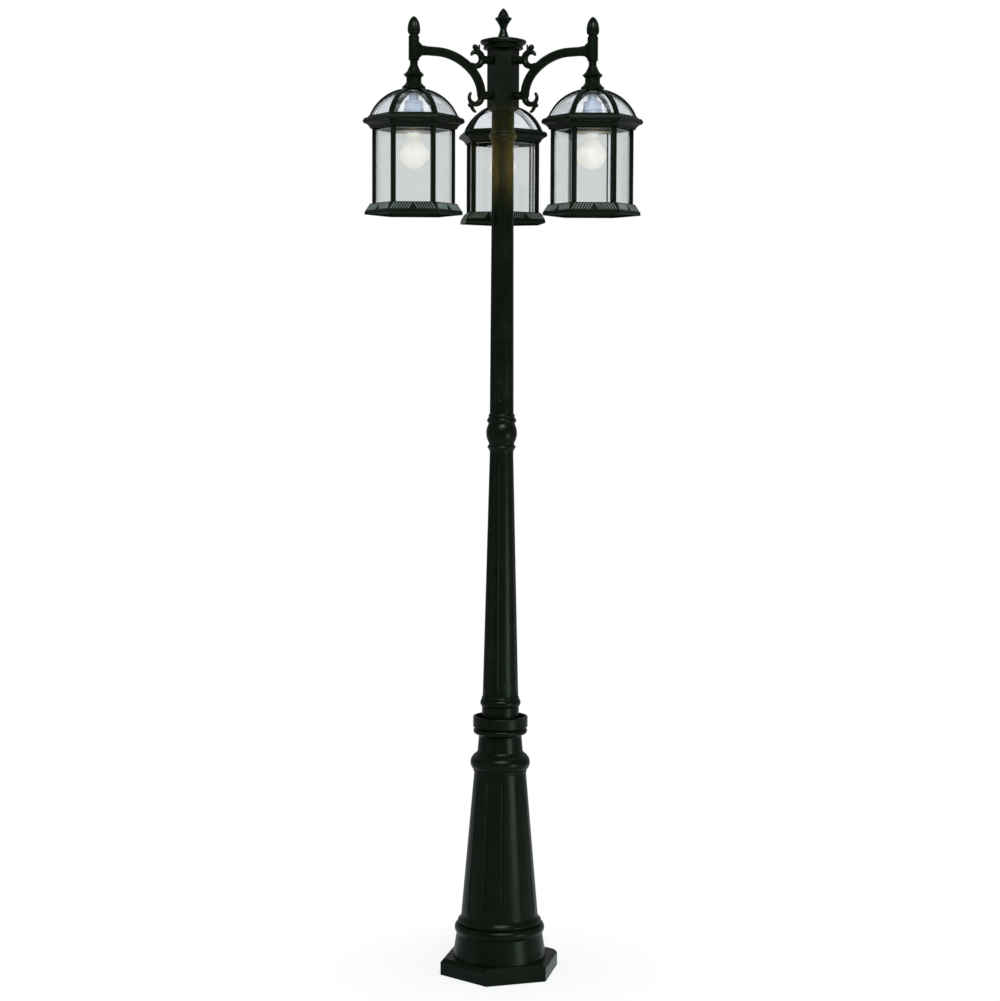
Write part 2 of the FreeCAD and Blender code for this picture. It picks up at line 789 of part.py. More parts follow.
def make_base_casting():
    """Hexagonal plinth, flared foot, fluted cone, neck and open cup in one hollow casting."""
    body = new_body("base_casting")
    corner = size("plinth_corner_radius")
    height = size("plinth_height")
    bevel = size("plinth_bevel")
    piles = []
    levels = ((0, corner), (height - bevel, corner), (height, corner - bevel))
    for index, (level, radius) in enumerate(levels):
        sketch = new_sketch(body, f"plinth_outline_{index}", "XY_Plane", size("plinth_turn"), level)
        piles.append(draw(sketch, polygon_points(radius, 6)))
    loft_solid(body, "plinth", piles)

    step = size("moulding_step")
    ring_low = size("foot_top_height") + step
    ring_side = size("foot_ring_radius") - size("foot_ring_crown")
    ring_high = ring_low + size("foot_ring_width")
    bead_side = size("foot_bead_radius") - size("foot_bead_crown")
    bead_low = ring_high + step
    bead_high = bead_low + size("foot_bead_width")
    cup_floor = size("cup_floor_height")
    cone_low = (size("cone_low_radius"), bead_high + size("cone_foot_rise"))
    cone_high = (size("cone_top_radius"), cup_floor - size("cone_top_drop"))
    upper_low = cone_high[1] + size("base_ring_shoulder")
    upper_side = size("base_ring_radius") - size("base_ring_crown")
    upper_high = upper_low + size("base_ring_width")
    neck_low = upper_high + size("base_ring_shoulder") + step * 2
    neck_high = neck_low + size("base_neck_length")
    cup_rim = cup_floor + size("cup_rim_height")
    cup_bead_low = neck_high + step * 3
    cup_bead_side = size("cup_bead_radius") - size("cup_bead_crown")
    cup_bead_high = cup_bead_low + size("cup_bead_width")
    cup = size("cup_radius")
    turn_solid(body, "turned", [
        (0, height - bevel * 2),
        (size("foot_low_radius"), height - bevel * 2),
        (size("foot_low_radius"), height),
        (size("foot_top_radius"), size("foot_top_height")),
        (ring_side, ring_low),
        bead(ring_side, ring_high, size("foot_ring_crown")),
        (bead_side, ring_high),
        (bead_side, bead_low),
        bead(bead_side, bead_high, size("foot_bead_crown")),
        cove(cone_low[0], cone_low[1], HALF),
        cone_high,
        (cone_high[0] + step, cone_high[1] + step),
        (cone_high[0] + step, upper_low - step),
        (upper_side, upper_low),
        bead(upper_side, upper_high, size("base_ring_crown")),
        (cone_high[0] + step, upper_high + step),
        (cone_high[0] + step, upper_high + step * 2),
        cove(size("base_neck_low_radius"), neck_low, step * HALF),
        (size("base_neck_top_radius"), neck_high),
        cove(cup_bead_side, cup_bead_low, step * HALF),
        bead(cup_bead_side, cup_bead_high, size("cup_bead_crown")),
        (cup, cup_bead_high + step * 2),
        (cup, cup_rim - step),
        bead(cup - step, cup_rim, step * (HALF * HALF)),
        (cup - size("cup_wall"), cup_rim),
        (cup - size("cup_wall"), cup_floor),
        (0, cup_floor),
    ])
    wall = size("casting_wall")
    bore = size("lower_spigot_radius") + size("body_gap")
    spigot_foot = cup_floor - size("lower_spigot_length") - size("body_gap")
    turn_solid(body, "hollow", [
        (0, 0),
        (size("plinth_hollow_radius"), 0),
        (size("plinth_hollow_radius"), size("plinth_hollow_height")),
        (size("foot_low_radius") - wall, height),
        (size("foot_top_radius") - wall, size("foot_top_height")),
        (cone_low[0] - wall, cone_low[1]),
        (cone_high[0] - wall, cone_high[1]),
        (bore, spigot_foot),
        (bore, cup_floor),
        (0, cup_floor),
    ], cut=True)
    screw_hole = size("set_screw_radius") + size("thread_gap")
    hole = tool_along_x(
        body, "set_screw_hole", size("plate_radius"), size("foot_low_radius") + wall,
        size("set_screw_height"), screw_hole, turn=size("set_screw_turn"),
    )
    repeat_round(body, hole, size("set_screw_count"))
    inset = size("cone_flute_inset")
    low_level = cone_low[1] + inset * HALF
    high_level = cone_high[1] - inset
    flutes(
        body, "cone_flute",
        (radius_at(cone_low, cone_high, low_level), low_level),
        (radius_at(cone_low, cone_high, high_level), high_level),
        size("cone_flute_width"), size("cone_flute_depth"), size("cone_flute_count"),
    )
    place(body, turn=size("base_turn"))
    return body


def make_foot_set_screws():
    """Headless screws that clamp the foot on the anchor plate's rim."""
    body = new_body("foot_set_screws")
    inner = size("plate_radius")
    foot_low = (size("foot_low_radius"), size("plinth_height"))
    foot_high = (size("foot_top_radius"), size("foot_top_height"))
    outer = radius_at(foot_low, foot_high, size("set_screw_height")) - size("set_screw_sink")
    level = size("set_screw_height")
    radius = size("set_screw_radius")
    socket = outer - size("set_screw_socket_depth")
    socket_radius = size("set_screw_socket_radius")
    screw = turn_solid(body, "screw", [
        (inner, level), (socket, level), (socket, level + socket_radius), (outer, level + socket_radius),
        (outer, level + radius), (inner, level + radius),
    ], turn=size("set_screw_turn"), axis="Edge1")
    repeat_round(body, screw, size("set_screw_count"))
    place(body, turn=size("base_turn"))
    return body


def make_lower_shaft():
    """Tapered, fluted tube with a moulded foot that stands in the cup."""
    body = new_body("lower_shaft")
    spigot = size("lower_spigot_radius")
    foot = size("lower_foot_radius")
    flange = foot + size("lower_foot_flange")
    flange_high = size("lower_foot_flange_height")
    ring_low = size("lower_ring_height") - size("lower_ring_width") * HALF
    ring_high = ring_low + size("lower_ring_width")
    ring_side = size("lower_ring_radius") - size("lower_ring_crown")
    crown = size("shaft_bead_crown")
    bead_side = size("lower_bead_radius") - crown
    bead_high = ring_high + size("lower_bead_width")
    low = (size("lower_shaft_low_radius"), bead_high + size("lower_shaft_foot_rise"))
    high = (size("lower_shaft_top_radius"), size("lower_shaft_length"))
    wall = size("lower_shaft_wall")
    straight = high[1] - size("joint_spigot_length") - size("body_gap")
    bore = high[0] - wall + size("body_gap")
    turn_solid(body, "turned", [
        (spigot - size("lower_spigot_wall"), -size("lower_spigot_length")),
        (spigot, -size("lower_spigot_length")),
        (spigot, 0),
        (flange, 0),
        (flange, flange_high),
        cove(foot, flange_high + crown * 4, crown),
        (foot, ring_low - crown * 2),
        (ring_side, ring_low),
        bead(ring_side, ring_high, size("lower_ring_crown")),
        (bead_side, ring_high),
        bead(bead_side, bead_high, crown),
        cove(low[0], low[1], crown * HALF),
        high,
        (bore, high[1]),
        (bore, straight),
        (low[0] - wall, low[1]),
        (spigot - size("lower_spigot_wall"), 0),
    ])
    low_level = low[1] + size("lower_flute_inset")
    high_level = high[1] - size("lower_flute_top_inset")
    flutes(
        body, "flute",
        (radius_at(low, high, low_level), low_level),
        (radius_at(low, high, high_level), high_level),
        size("lower_flute_width"), size("lower_flute_depth"), size("shaft_flute_count"),
    )
    place(body, z=LOWER_SEAT, turn=size("lower_shaft_turn"))
    return body


def make_shaft_coupling():
    """Turned knuckle with a threaded spigot into each shaft."""
    body = new_body("shaft_coupling")
    spigot = size("lower_shaft_top_radius") - size("lower_shaft_wall")
    bore = spigot - size("joint_spigot_wall")
    upper_spigot = size("upper_shaft_low_radius") - size("lower_shaft_wall")
    length = KNUCKLE_LENGTH
    crown = size("shaft_bead_crown")
    collar = size("knuckle_collar_radius")
    collar_level = size("knuckle_collar_height")
    throat = size("knuckle_throat_radius")
    ball_high = KNUCKLE_BALL_LOW + size("knuckle_ball_width")
    ball_side = size("knuckle_ball_radius") - size("knuckle_ball_crown")
    ring_high = KNUCKLE_RING_LOW + size("knuckle_ring_width")
    ring_side = size("knuckle_ring_radius") - size("knuckle_ring_crown")
    bead_high = KNUCKLE_BEAD_LOW + size("knuckle_bead_width")
    bead_side = size("knuckle_bead_radius") - crown
    turn_solid(body, "turned", [
        (bore, -size("joint_spigot_length")),
        (spigot, -size("joint_spigot_length")),
        (spigot, 0),
        (size("lower_shaft_top_radius"), 0),
        cove(collar - crown * 2, collar_level - crown * 3, crown),
        (collar, collar_level),
        (collar - crown, collar_level + crown * 2),
        (throat, size("knuckle_throat_height") - crown * 3),
        (throat, size("knuckle_throat_height")),
        (ball_side, KNUCKLE_BALL_LOW),
        bead(ball_side, ball_high, size("knuckle_ball_crown")),
        (ball_side, KNUCKLE_RING_LOW - crown),
        (ring_side, KNUCKLE_RING_LOW),
        bead(ring_side, ring_high, size("knuckle_ring_crown")),
        (bead_side, KNUCKLE_BEAD_LOW),
        bead(bead_side, bead_high, crown),
        (size("upper_shaft_low_radius"), KNUCKLE_NECK_LOW),
        (size("upper_shaft_low_radius"), length),
        (upper_spigot, length),
        (upper_spigot, length + size("joint_spigot_length")),
        (bore, length + size("joint_spigot_length")),
    ])
    place(body, z=KNUCKLE_SEAT)
    return body


def make_upper_shaft():
    """Slimmer tapered tube with six flutes."""
    body = new_body("upper_shaft")
    low = (size("upper_shaft_low_radius"), as_size(0))
    high = (size("upper_shaft_top_radius"), size("upper_shaft_length"))
    socket = low[0] - size("lower_shaft_wall") + size("body_gap")
    socket_high = size("joint_spigot_length") + size("body_gap")
    bore = size("upper_shaft_bore")
    turn_solid(body, "turned", [
        (socket, 0), low, high, (bore, high[1]), (bore, socket_high), (socket, socket_high),
    ])
    low_level = size("upper_flute_inset")
    high_level = high[1] - size("upper_flute_top_inset")
    flutes(
        body, "flute",
        (radius_at(low, high, low_level), low_level),
        (radius_at(low, high, high_level), high_level),
        size("upper_flute_width"), size("upper_flute_depth"), size("shaft_flute_count"),
    )
    place(body, z=UPPER_SEAT, turn=size("upper_shaft_turn"))
    return body


def make_neck_collar():
    """Grooved ring and plain neck, threaded into the upper shaft below and the hub above."""
    body = new_body("neck_collar")
    spigot = size("upper_shaft_bore") - size("body_gap")
    bore = size("neck_bore")
    foot = size("neck_foot_radius")
    bead_low = size("neck_bead_level")
    bead_side = size("neck_bead_radius") - size("neck_bead_crown")
    ring_low = size("neck_ring_level")
    ring_side = size("neck_ring_radius") - size("neck_ring_crown")
    ring_high = ring_low + size("neck_ring_width")
    band_low = ring_high + size("neck_flank")
    step = size("neck_step")
    band = size("neck_radius") + step
    length = size("neck_length")
    turn_solid(body, "turned", [
        (bore, -size("neck_spigot_length")),
        (spigot, -size("neck_spigot_length")),
        (spigot, 0),
        (foot, 0),
        (foot, bead_low),
        (bead_side, bead_low),
        bead(bead_side, bead_low + size("neck_bead_width"), size("neck_bead_crown")),
        (bead_side, ring_low),
        (ring_side, ring_low),
        bead(ring_side, ring_high, size("neck_ring_crown")),
        cove(band, band_low, step * HALF),
        (band, band_low + step * 2),
        (size("neck_radius"), band_low + step * 3),
        (size("neck_radius"), length),
        (size("neck_thread_radius"), length),
        (size("neck_thread_radius"), length + size("hub_floor")),
        (bore, length + size("hub_floor")),
    ])
    place(body, z=NECK_SEAT)
    return body


def make_hub():
    """Hollow hexagonal housing with lugs for the cross bar and holes for the three arms."""
    body = new_body("hub")
    corner = size("hub_corner_radius")
    foot = size("hub_foot_height")
    step = size("hub_foot_step")
    piles = []
    levels = (
        (0, size("hub_foot_corner_radius")),
        (foot, corner - step),
        (foot + step, corner),
        (size("hub_length"), corner),
    )
    for index, (level, radius) in enumerate(levels):
        sketch = new_sketch(body, f"outside_{index}", "XY_Plane", 0, level)
        piles.append(draw(sketch, polygon_points(radius, 6)))
    loft_solid(body, "housing", piles)
    cavity = draw(new_sketch(body, "cavity_outline", "XY_Plane", 0, size("hub_length")),
                  polygon_points(HUB_INNER_CORNER, 6))
    pad_solid(body, "cavity", cavity, size("hub_length") - size("hub_floor"), cut=True)
    turn_solid(body, "neck_hole", [
        (0, 0), (size("neck_thread_radius") + size("thread_gap"), 0),
        (size("neck_thread_radius") + size("thread_gap"), size("hub_floor")), (0, size("hub_floor")),
    ], cut=True)
    lug_low = size("crossbar_height") + size("crossbar_thickness")
    lug_sketch = draw(new_sketch(body, "lug_outline"), [
        (HUB_INNER_CORNER - size("lug_length"), lug_low),
        (HUB_INNER_CORNER + size("hub_wall") * HALF, lug_low),
        (HUB_INNER_CORNER + size("hub_wall") * HALF, lug_low + size("lug_height")),
        (HUB_INNER_CORNER - size("lug_length"), lug_low + size("lug_height")),
    ])
    lug = pad_solid(body, "lug", lug_sketch, size("lug_width"), symmetric=True)
    repeat_round(body, lug, 2)
    for name, level, radius in (
        ("screw_hole", size("upper_boss_level"), size("arm_screw_radius") + size("thread_gap")),
        ("tenon_hole", size("lower_boss_level"), size("tenon_radius") + size("thread_gap")),
    ):
        inner = HUB_INNER_FACE * HALF
        hole = tool_along_x(body, name, inner, corner, level, radius, turn=size("arm_back_turn"))
        repeat_round(body, hole, 3)
    place(body, z=HUB_SEAT)
    return body


def make_hub_crossbar():
    """Flat bar under the lugs, which the centre rod hangs from."""
    body = new_body("hub_crossbar")
    wide = size("crossbar_width") * HALF
    end = HUB_INNER_CORNER - wide * THIRD_SLOPE - size("body_gap")
    sketch = draw(new_sketch(body, "bar_outline", "XY_Plane", 0, size("crossbar_height")), [
        (-end, -wide), (end, -wide), (end, wide), (-end, wide),
    ])
    pad_solid(body, "bar", sketch, size("crossbar_thickness"))
    hole = draw_circle(
        new_sketch(body, "hole_outline", "XY_Plane", 0, size("crossbar_height") + size("crossbar_thickness")),
        0, 0, size("rod_radius") + size("thread_gap"),
    )
    pad_solid(body, "hole", hole, size("crossbar_thickness"), cut=True)
    place(body, z=HUB_SEAT)
    return body


def make_centre_rod():
    """Threaded rod from the cross bar up into the top finial."""
    body = new_body("centre_rod")
    low = size("crossbar_height") - size("rod_drop")
    high = size("hub_length") + size("rod_rise")
    radius = size("rod_radius")
    turn_solid(body, "rod", [(0, low), (radius, low), (radius, high), (0, high)])
    place(body, z=HUB_SEAT)
    return body


def nut_sketch(body, name, across, level):
    """Hexagon of a nut at a level."""
    return draw(new_sketch(body, name, "XY_Plane", 0, level), polygon_points(across * HALF / FLAT, 6))


def make_rod_nuts():
    """Two nuts that clamp the rod to the cross bar."""
    body = new_body("rod_nuts")
    height = size("rod_nut_height")
    bore = size("rod_radius") + size("thread_gap")
    low = size("crossbar_height") - height
    high = size("crossbar_height") + size("crossbar_thickness")
    for index, level in enumerate((low, high)):
        outline = nut_sketch(body, f"nut_outline_{index}", size("rod_nut_across"), level)
        pad_solid(body, f"nut_{index}", outline, height)
    turn_solid(body, "thread", [(0, low), (bore, low), (bore, high + height), (0, high + height)], cut=True)
    place(body, z=HUB_SEAT)
    return body


def make_hub_cap():
    """Round moulded lid with a low crown."""
    body = new_body("hub_cap")
    low = size("body_gap")
    ring = size("cap_under_ring_radius")
    ring_high = size("cap_under_ring_height")
    edge = size("cap_radius")
    edge_low = size("cap_edge_height")
    edge_high = edge_low + size("cap_edge_width")
    step = size("cap_cove")
    top = size("cap_height")
    bore = size("rod_radius") + size("body_gap")
    hollow = size("cap_hollow_radius")
    turn_solid(body, "turned", [
        (hollow, low),
        (ring - step * 2, low),
        (ring, low + step),
        (ring, ring_high - step),
        (ring - step, ring_high),
        cove(edge - step, edge_low - step, step),
        (edge, edge_low),
        bead(edge, edge_high, step * HALF),
        (edge - step, edge_high + step * HALF),
        bead(size("finial_base_radius") + step, top, size("cap_crown")),
        (bore, top),
        (bore, size("cap_hollow_height")),
        (hollow, size("cap_hollow_height")),
    ])
    place(body, z=CAP_SEAT)
    return body


def make_top_finial():
    """Pointed finial, threaded on the centre rod, that holds the cap down."""
    body = new_body("top_finial")
    bore = size("rod_radius") + size("bearing_gap")
    depth = size("rod_rise") - size("cap_height") + size("rod_drop") * (HALF * HALF)
    base = size("finial_base_radius")
    waist = size("finial_waist_radius")
    waist_level = size("finial_waist_height")
    flange = size("finial_flange_radius")
    level = size("finial_flange_height")
    bud = size("finial_bud_radius")
    step = size("cap_cove")
    turn_solid(body, "turned", [
        (bore, 0),
        (base, 0),
        (base, step),
        cove(waist, waist_level, step),
        cove(bud - step * 2, level - step * 6, step * HALF),
        (flange, level - step),
        (flange, level),
        (bud, level + step * 2),
        bead(step * HALF, size("finial_height"), size("finial_bud_crown")),
        (0, size("finial_height")),
        (0, depth),
        (bore, depth),
    ])
    place(body, z=FINIAL_SEAT)
    return body


def octagon(body, name, reach, high_share, wide_share):
    """The arm's chamfered section at a distance from the post, scaled in height and width."""
    high = size("arm_half_height") * high_share
    wide = size("arm_half_width") * wide_share
    chamfer = size("arm_chamfer") * wide_share
    level = size("arm_level")
    sketch = new_sketch(body, name, "YZ_Plane", 0, reach)
    return draw(sketch, [
        (-wide + chamfer, level - high), (wide - chamfer, level - high),
        (wide, level - high + chamfer), (wide, level + high - chamfer),
        (wide - chamfer, level + high), (-wide + chamfer, level + high),
        (-wide, level + high - chamfer), (-wide, level - high + chamfer),
    ])


def arm_bend():
    """End of the arm's wide bend, and the centre of the tighter one that brings it down."""
    turn = size("arm_bend_turn")
    wide = size("arm_bend_radius")
    tight = size("arm_drop_radius")
    reach = size("arm_bend_reach")
    level = size("arm_level") - wide
    join = (reach - wide * cosine(turn), level + wide * sine(turn))
    centre = (reach - (wide - tight) * cosine(turn), level + (wide - tight) * sine(turn))
    return join, centre


def wire_route(start, end):
    """Stretches of the wire's way: along the arm, round its bends and back into the lower boss."""
    drop = size("arm_drop_radius")
    turn_back = size("boss_bend_radius")
    join, centre = arm_bend()
    share = (size("lower_boss_level") - centre[1] + turn_back) / (drop + turn_back)
    side = root(as_size(1) - share * share)
    return start + [
        (size("arm_bend_reach"), size("arm_level")),
        bend(join[0], join[1], size("arm_bend_radius"), 1),
        bend(centre[0] - drop * side, centre[1] + drop * share, drop, 1),
        bend(centre[0] - (drop + turn_back) * side, size("lower_boss_level"), turn_back, -1),
        (end, size("lower_boss_level")),
    ]


def scroll_stroke(name, centre, radii, angles, thicknesses):
    """A round-ended stroke along a spiral in the arm's plane; thick at its start, middle and end as given."""
    stations = 2 + round(abs(angles[1] - angles[0]) / HALF_SIXTH_TURN)
    start, middle, end = thicknesses
    rings = []
    for index in range(stations):
        share = index / (stations - 1)
        radius = radii[0] + (radii[1] - radii[0]) * share
        angle = math.radians(angles[0] + (angles[1] - angles[0]) * share)
        thickness = (start * (1 - share) * (1 - share * 2) + middle * share * (1 - share) * 4
                     + end * share * (share * 2 - 1))
        outward = Vector(math.cos(angle), 0, math.sin(angle))
        along = Vector(-math.sin(angle), 0, math.cos(angle))
        ring = Part.makeCircle(thickness * HALF)
        point = Vector(centre[0], 0, centre[1]) + outward * radius
        ring.Placement = Placement(point, Rotation(Vector(0, 1, 0), Vector(), along, "ZXY"))
        rings.append(Part.Wire(ring))
    stroke = doc.addObject("Part::Feature", name)
    stroke.Shape = Part.makeLoft(rings, True, False)
    return [stroke, ball(f"{name}_tip", as_size(end * ROUND_TIP), point.x, point.z)]


def ball(name, radius, x, z):
    item = doc.addObject("Part::Sphere", name)
    bind(item, "Radius", radius)
    place(item, x=x, z=z)
    return item


def make_scrolls():
    """The leaf scrolls above and below the arm: a curl, a leaf and a bud each."""
    thick = size("scroll_thickness").value
    pieces = []
    for scroll, strokes in SCROLL_STROKES.items():
        reach = size(f"{scroll}_reach").value
        level = size(f"{scroll}_level").value
        scale = size(f"{scroll}_radius").value
        for name, stroke in strokes.items():
            centre = (reach + scale * stroke["centre"][0], level + scale * stroke["centre"][1])
            radii = [scale * share for share in stroke["radii"]]
            thicknesses = [thick * share for share in stroke["thicknesses"]]
            pieces += scroll_stroke(f"{scroll}_{name}", centre, radii, stroke["angles"], thicknesses)
        out, rise = BUD_CENTRES[scroll]
        bud_radius = size(f"{scroll}_bud_radius")
        pieces.append(ball(f"{scroll}_bud", bud_radius, reach + scale * out, level + scale * rise))
    return pieces


def make_arm_pattern():
    """One cast arm: bent bar, sleeve, bosses, tenon and scrolls, bored for its wire."""
    body = new_body("arm_core")
    reach = size("arm_reach")
    level = size("arm_level")
    radius = size("sleeve_radius")
    section = octagon(body, "arm_section", reach, as_size(1), as_size(1))
    join, centre = arm_bend()
    drop = size("arm_drop_radius")
    path = draw(new_sketch(body, "arm_path"), [
        (reach, level), (size("arm_bend_reach"), level),
        bend(join[0], join[1], size("arm_bend_radius"), 1),
        bend(centre[0] - drop, centre[1], drop, 1),
    ], closed=False)
    sweep_solid(body, "bar", section, path, 3)
    high_share = size("arm_flare_height")
    wide_share = size("arm_flare_width")
    flare_start = reach - radius - size("arm_flare_run")
    flare_bend = reach - radius - size("arm_flare_bend")
    loft_solid(body, "flare", [
        octagon(body, "flare_start", flare_start, as_size(1), as_size(1)),
        octagon(body, "flare_bend", flare_bend, size("arm_flare_start"), size("arm_flare_start")),
        octagon(body, "flare_end", reach - radius, high_share, wide_share),
        octagon(body, "flare_root", reach - radius * HALF, high_share, wide_share),
    ])
    low = level - size("sleeve_low")
    high = level + size("sleeve_high")
    groove = size("sleeve_groove")
    groove_level = high - size("sleeve_groove_drop")
    turn_solid(body, "sleeve", [
        (reach, low), (reach, high), (reach - radius + groove, high), (reach - radius, high - groove),
        (reach - radius, groove_level + groove), (reach - radius + groove, groove_level),
        (reach - radius, groove_level - groove), (reach - radius, low + groove),
        (reach - radius + groove, low),
    ], axis="Edge1")
    for name, boss_level, boss_reach in (
        ("upper_boss", size("upper_boss_level"), size("boss_reach")),
        ("lower_boss", size("lower_boss_level"), size("lower_boss_reach")),
    ):
        tool_along_x(body, name, HUB_FACE, boss_reach, boss_level, size("boss_radius"), cut=False)
    tool_along_x(body, "tenon", size("tenon_reach"), size("lower_boss_reach"), size("lower_boss_level"),
                 size("tenon_radius"), cut=False)

    whole = doc.addObject("Part::MultiFuse", "arm_whole")
    whole.Shapes = [body] + make_scrolls()

    bores = new_body("arm_bores")
    start = draw_circle(new_sketch(bores, "wire_bore_section", "YZ_Plane", 0, reach), 0, level,
                        size("arm_bore_radius"))
    route = draw(new_sketch(bores, "wire_bore_path"),
                 wire_route([(reach, level)], size("tenon_reach") - size("body_gap")), closed=False)
    sweep_solid(bores, "wire_bore", start, route, 5)
    floor = low + size("sleeve_floor")
    chamber = size("sleeve_bore")
    stem = size("stem_radius") + size("bearing_gap")
    turn_solid(bores, "chamber", [
        (reach, low - groove), (reach, high + groove), (reach - chamber, high + groove),
        (reach - chamber, floor), (reach - stem, floor), (reach - stem, low - groove),
    ], axis="Edge1")
    screw_end = HUB_INNER_FACE + size("arm_screw_length") + size("thread_gap")
    tool_along_x(bores, "screw_bore", HUB_INNER_FACE, screw_end, size("upper_boss_level"),
                 size("arm_screw_radius") + size("thread_gap"), cut=False)
    cast = doc.addObject("Part::Cut", "arm_cast")
    cast.Base = whole
    cast.Tool = bores
    return cast


def make_arm_screw():
    """Hexagon screw from inside the hub into an arm's upper boss."""
    body = new_body("arm_screw")
    level = size("upper_boss_level")
    face = HUB_INNER_FACE
    tool_along_x(body, "shank", face, face + size("arm_screw_length"), level, size("arm_screw_radius"),
                 cut=False)
    across = size("arm_screw_across")
    head = new_sketch(body, "head_outline", "YZ_Plane", 0, face - size("arm_screw_head"))
    points = [(x, level + z) for x, z in polygon_points(across * HALF / FLAT, 6)]
    pad_solid(body, "head", draw(head, points), size("arm_screw_head"))
    return body


def make_arm_lock_nut():
    """Lock nut on an arm's hollow tenon, inside the hub."""
    body = new_body("arm_lock_nut")
    level = size("lower_boss_level")
    face = HUB_INNER_FACE
    across = size("lock_nut_across")
    outline = new_sketch(body, "nut_outline", "YZ_Plane", 0, face - size("lock_nut_height"))
    points = [(x, level + z) for x, z in polygon_points(across * HALF / FLAT, 6)]
    pad_solid(body, "nut", draw(outline, points), size("lock_nut_height"))
    tool_along_x(body, "thread", HUB_INNER_FACE * HALF, face + size("hub_wall"), level,
                 size("tenon_radius") + size("thread_gap"))
    return body


def make_lead_wire():
    """Lead from the lamp holder up the stem, along the arm and into the hub."""
    body = new_body("lead_wire")
    low = SLEEVE_LOW - size("body_gap") - LANTERN_TOP + HOLDER_TOP - size("stem_engagement")
    low = low - size("lead_low")
    start = draw_circle(new_sketch(body, "wire_section", "XY_Plane", 0, low), size("arm_reach"), 0,
                        size("lead_radius"))
    corner = size("arm_level") - size("wire_bend_radius")
    first = [
        (size("arm_reach"), low),
        (size("arm_reach"), corner),
        bend(size("arm_reach") - size("wire_bend_radius"), size("arm_level"), size("wire_bend_radius"), 1),
    ]
    end = size("tenon_reach") - size("body_gap") - size("connector_depth")
    path = draw(new_sketch(body, "wire_path"), wire_route(first, end), closed=False)
    sweep_solid(body, "wire", start, path, 7)
    return body


def make_wire_connector():
    """Twist-on connector over the end of a lead."""
    body = new_body("wire_connector")
    mouth = size("tenon_reach") - size("body_gap")
    tip = mouth - size("connector_length")
    level = size("lower_boss_level")
    bore = size("lead_radius") + size("thread_gap")
    floor = mouth - size("connector_depth") - size("thread_gap")
    turn_solid(body, "cone", [
        (tip, level), (floor, level), (floor, level + bore), (mouth, level + bore),
        (mouth, level + size("connector_low_radius")), (tip, level + size("connector_tip_radius")),
    ], axis="Edge1")
    return body


def make_acorn_pattern():
    """Acorn finial with a spigot in the sleeve; its frame is at the sleeve's top."""
    body = new_body("acorn_pattern")
    widest = size("acorn_widest")
    neck = size("acorn_neck_radius")
    neck_high = size("acorn_neck_height")
    spigot = size("sleeve_bore") - size("thread_gap")
    turn_solid(body, "turned", [
        (0, -size("acorn_spigot_length")),
        (spigot, -size("acorn_spigot_length")),
        (spigot, 0),
        (neck, 0),
        (neck, neck_high),
        (size("acorn_low_radius"), neck_high + size("sleeve_groove") * 2),
        bend(size("acorn_radius"), widest, size("acorn_under_radius"), 1),
        bend(size("sleeve_groove"), size("acorn_height"), size("acorn_ogive_radius"), 1),
        (0, size("acorn_height")),
    ])
    return body


def make_bell_pattern():
    """Stepped bell between the sleeve and the dome."""
    body = new_body("bell_pattern")
    top = LANTERN_TOP
    low = CROWN_TOP
    bore = size("stem_radius") + size("body_gap")
    radius = size("bell_radius")
    ring = size("bell_ring_radius")
    ring_level = low + size("bell_ring_height")
    cone_level = low + size("bell_cone_height")
    waist_level = low + size("bell_waist_height")
    wall = size("bell_wall")
    step = size("moulding_step")
    turn_solid(body, "turned", [
        (radius - wall, low),
        (radius, low),
        (radius, low + step),
        cove(size("bell_waist_radius"), waist_level, step * HALF),
        (size("bell_waist_radius"), low + size("bell_waist_top")),
        (ring - step, ring_level - step * HALF),
        (ring, ring_level),
        (ring - step, ring_level + step),
        (size("bell_cone_radius") + step, cone_level - step),
        (size("bell_cone_radius"), cone_level),
        (size("bell_neck_radius"), top - size("bell_neck_length")),
        (size("bell_neck_radius"), top),
        (bore, top),
        (bore, ring_level),
    ])
    return body


def hexagon_path(body, name, corner_radius, level):
    sketch = new_sketch(body, name, "XY_Plane", 0, level)
    return draw(sketch, polygon_points(corner_radius, 6, HALF_SIXTH_TURN))


def hexagon_moulding(body, name, outline, level):
    """Carry an outline of (corner radius, height) entries round a hexagon with mitred corners."""
    path = hexagon_path(body, f"{name}_path", as_size(outline[0][0]), level)
    entries = [(as_size(entry[0]) * FLAT,) + tuple(entry[1:]) for entry in outline]
    profile = draw(new_sketch(body, f"{name}_profile"), entries)
    return sweep_solid(body, name, profile, path, 6)


def rib_point(radius, angle):
    """A point on the ribs' arc, as (distance from the lantern's axis, height)."""
    centre_level = CORNICE_TOP - size("rib_arc_drop")
    return (size("rib_arc_offset") + radius * cosine(angle), centre_level + radius * sine(angle))


def shell_outline(inner, outer, foot, head):
    """The outline between two arcs of the dome, in the plane of a corner."""
    corners = [rib_point(inner, foot), rib_point(outer, foot), rib_point(outer, head), rib_point(inner, head)]
    return [
        bend(corners[0][0], corners[0][1], inner, -1),
        corners[1],
        bend(corners[2][0], corners[2][1], outer, 1),
        corners[3],
    ]


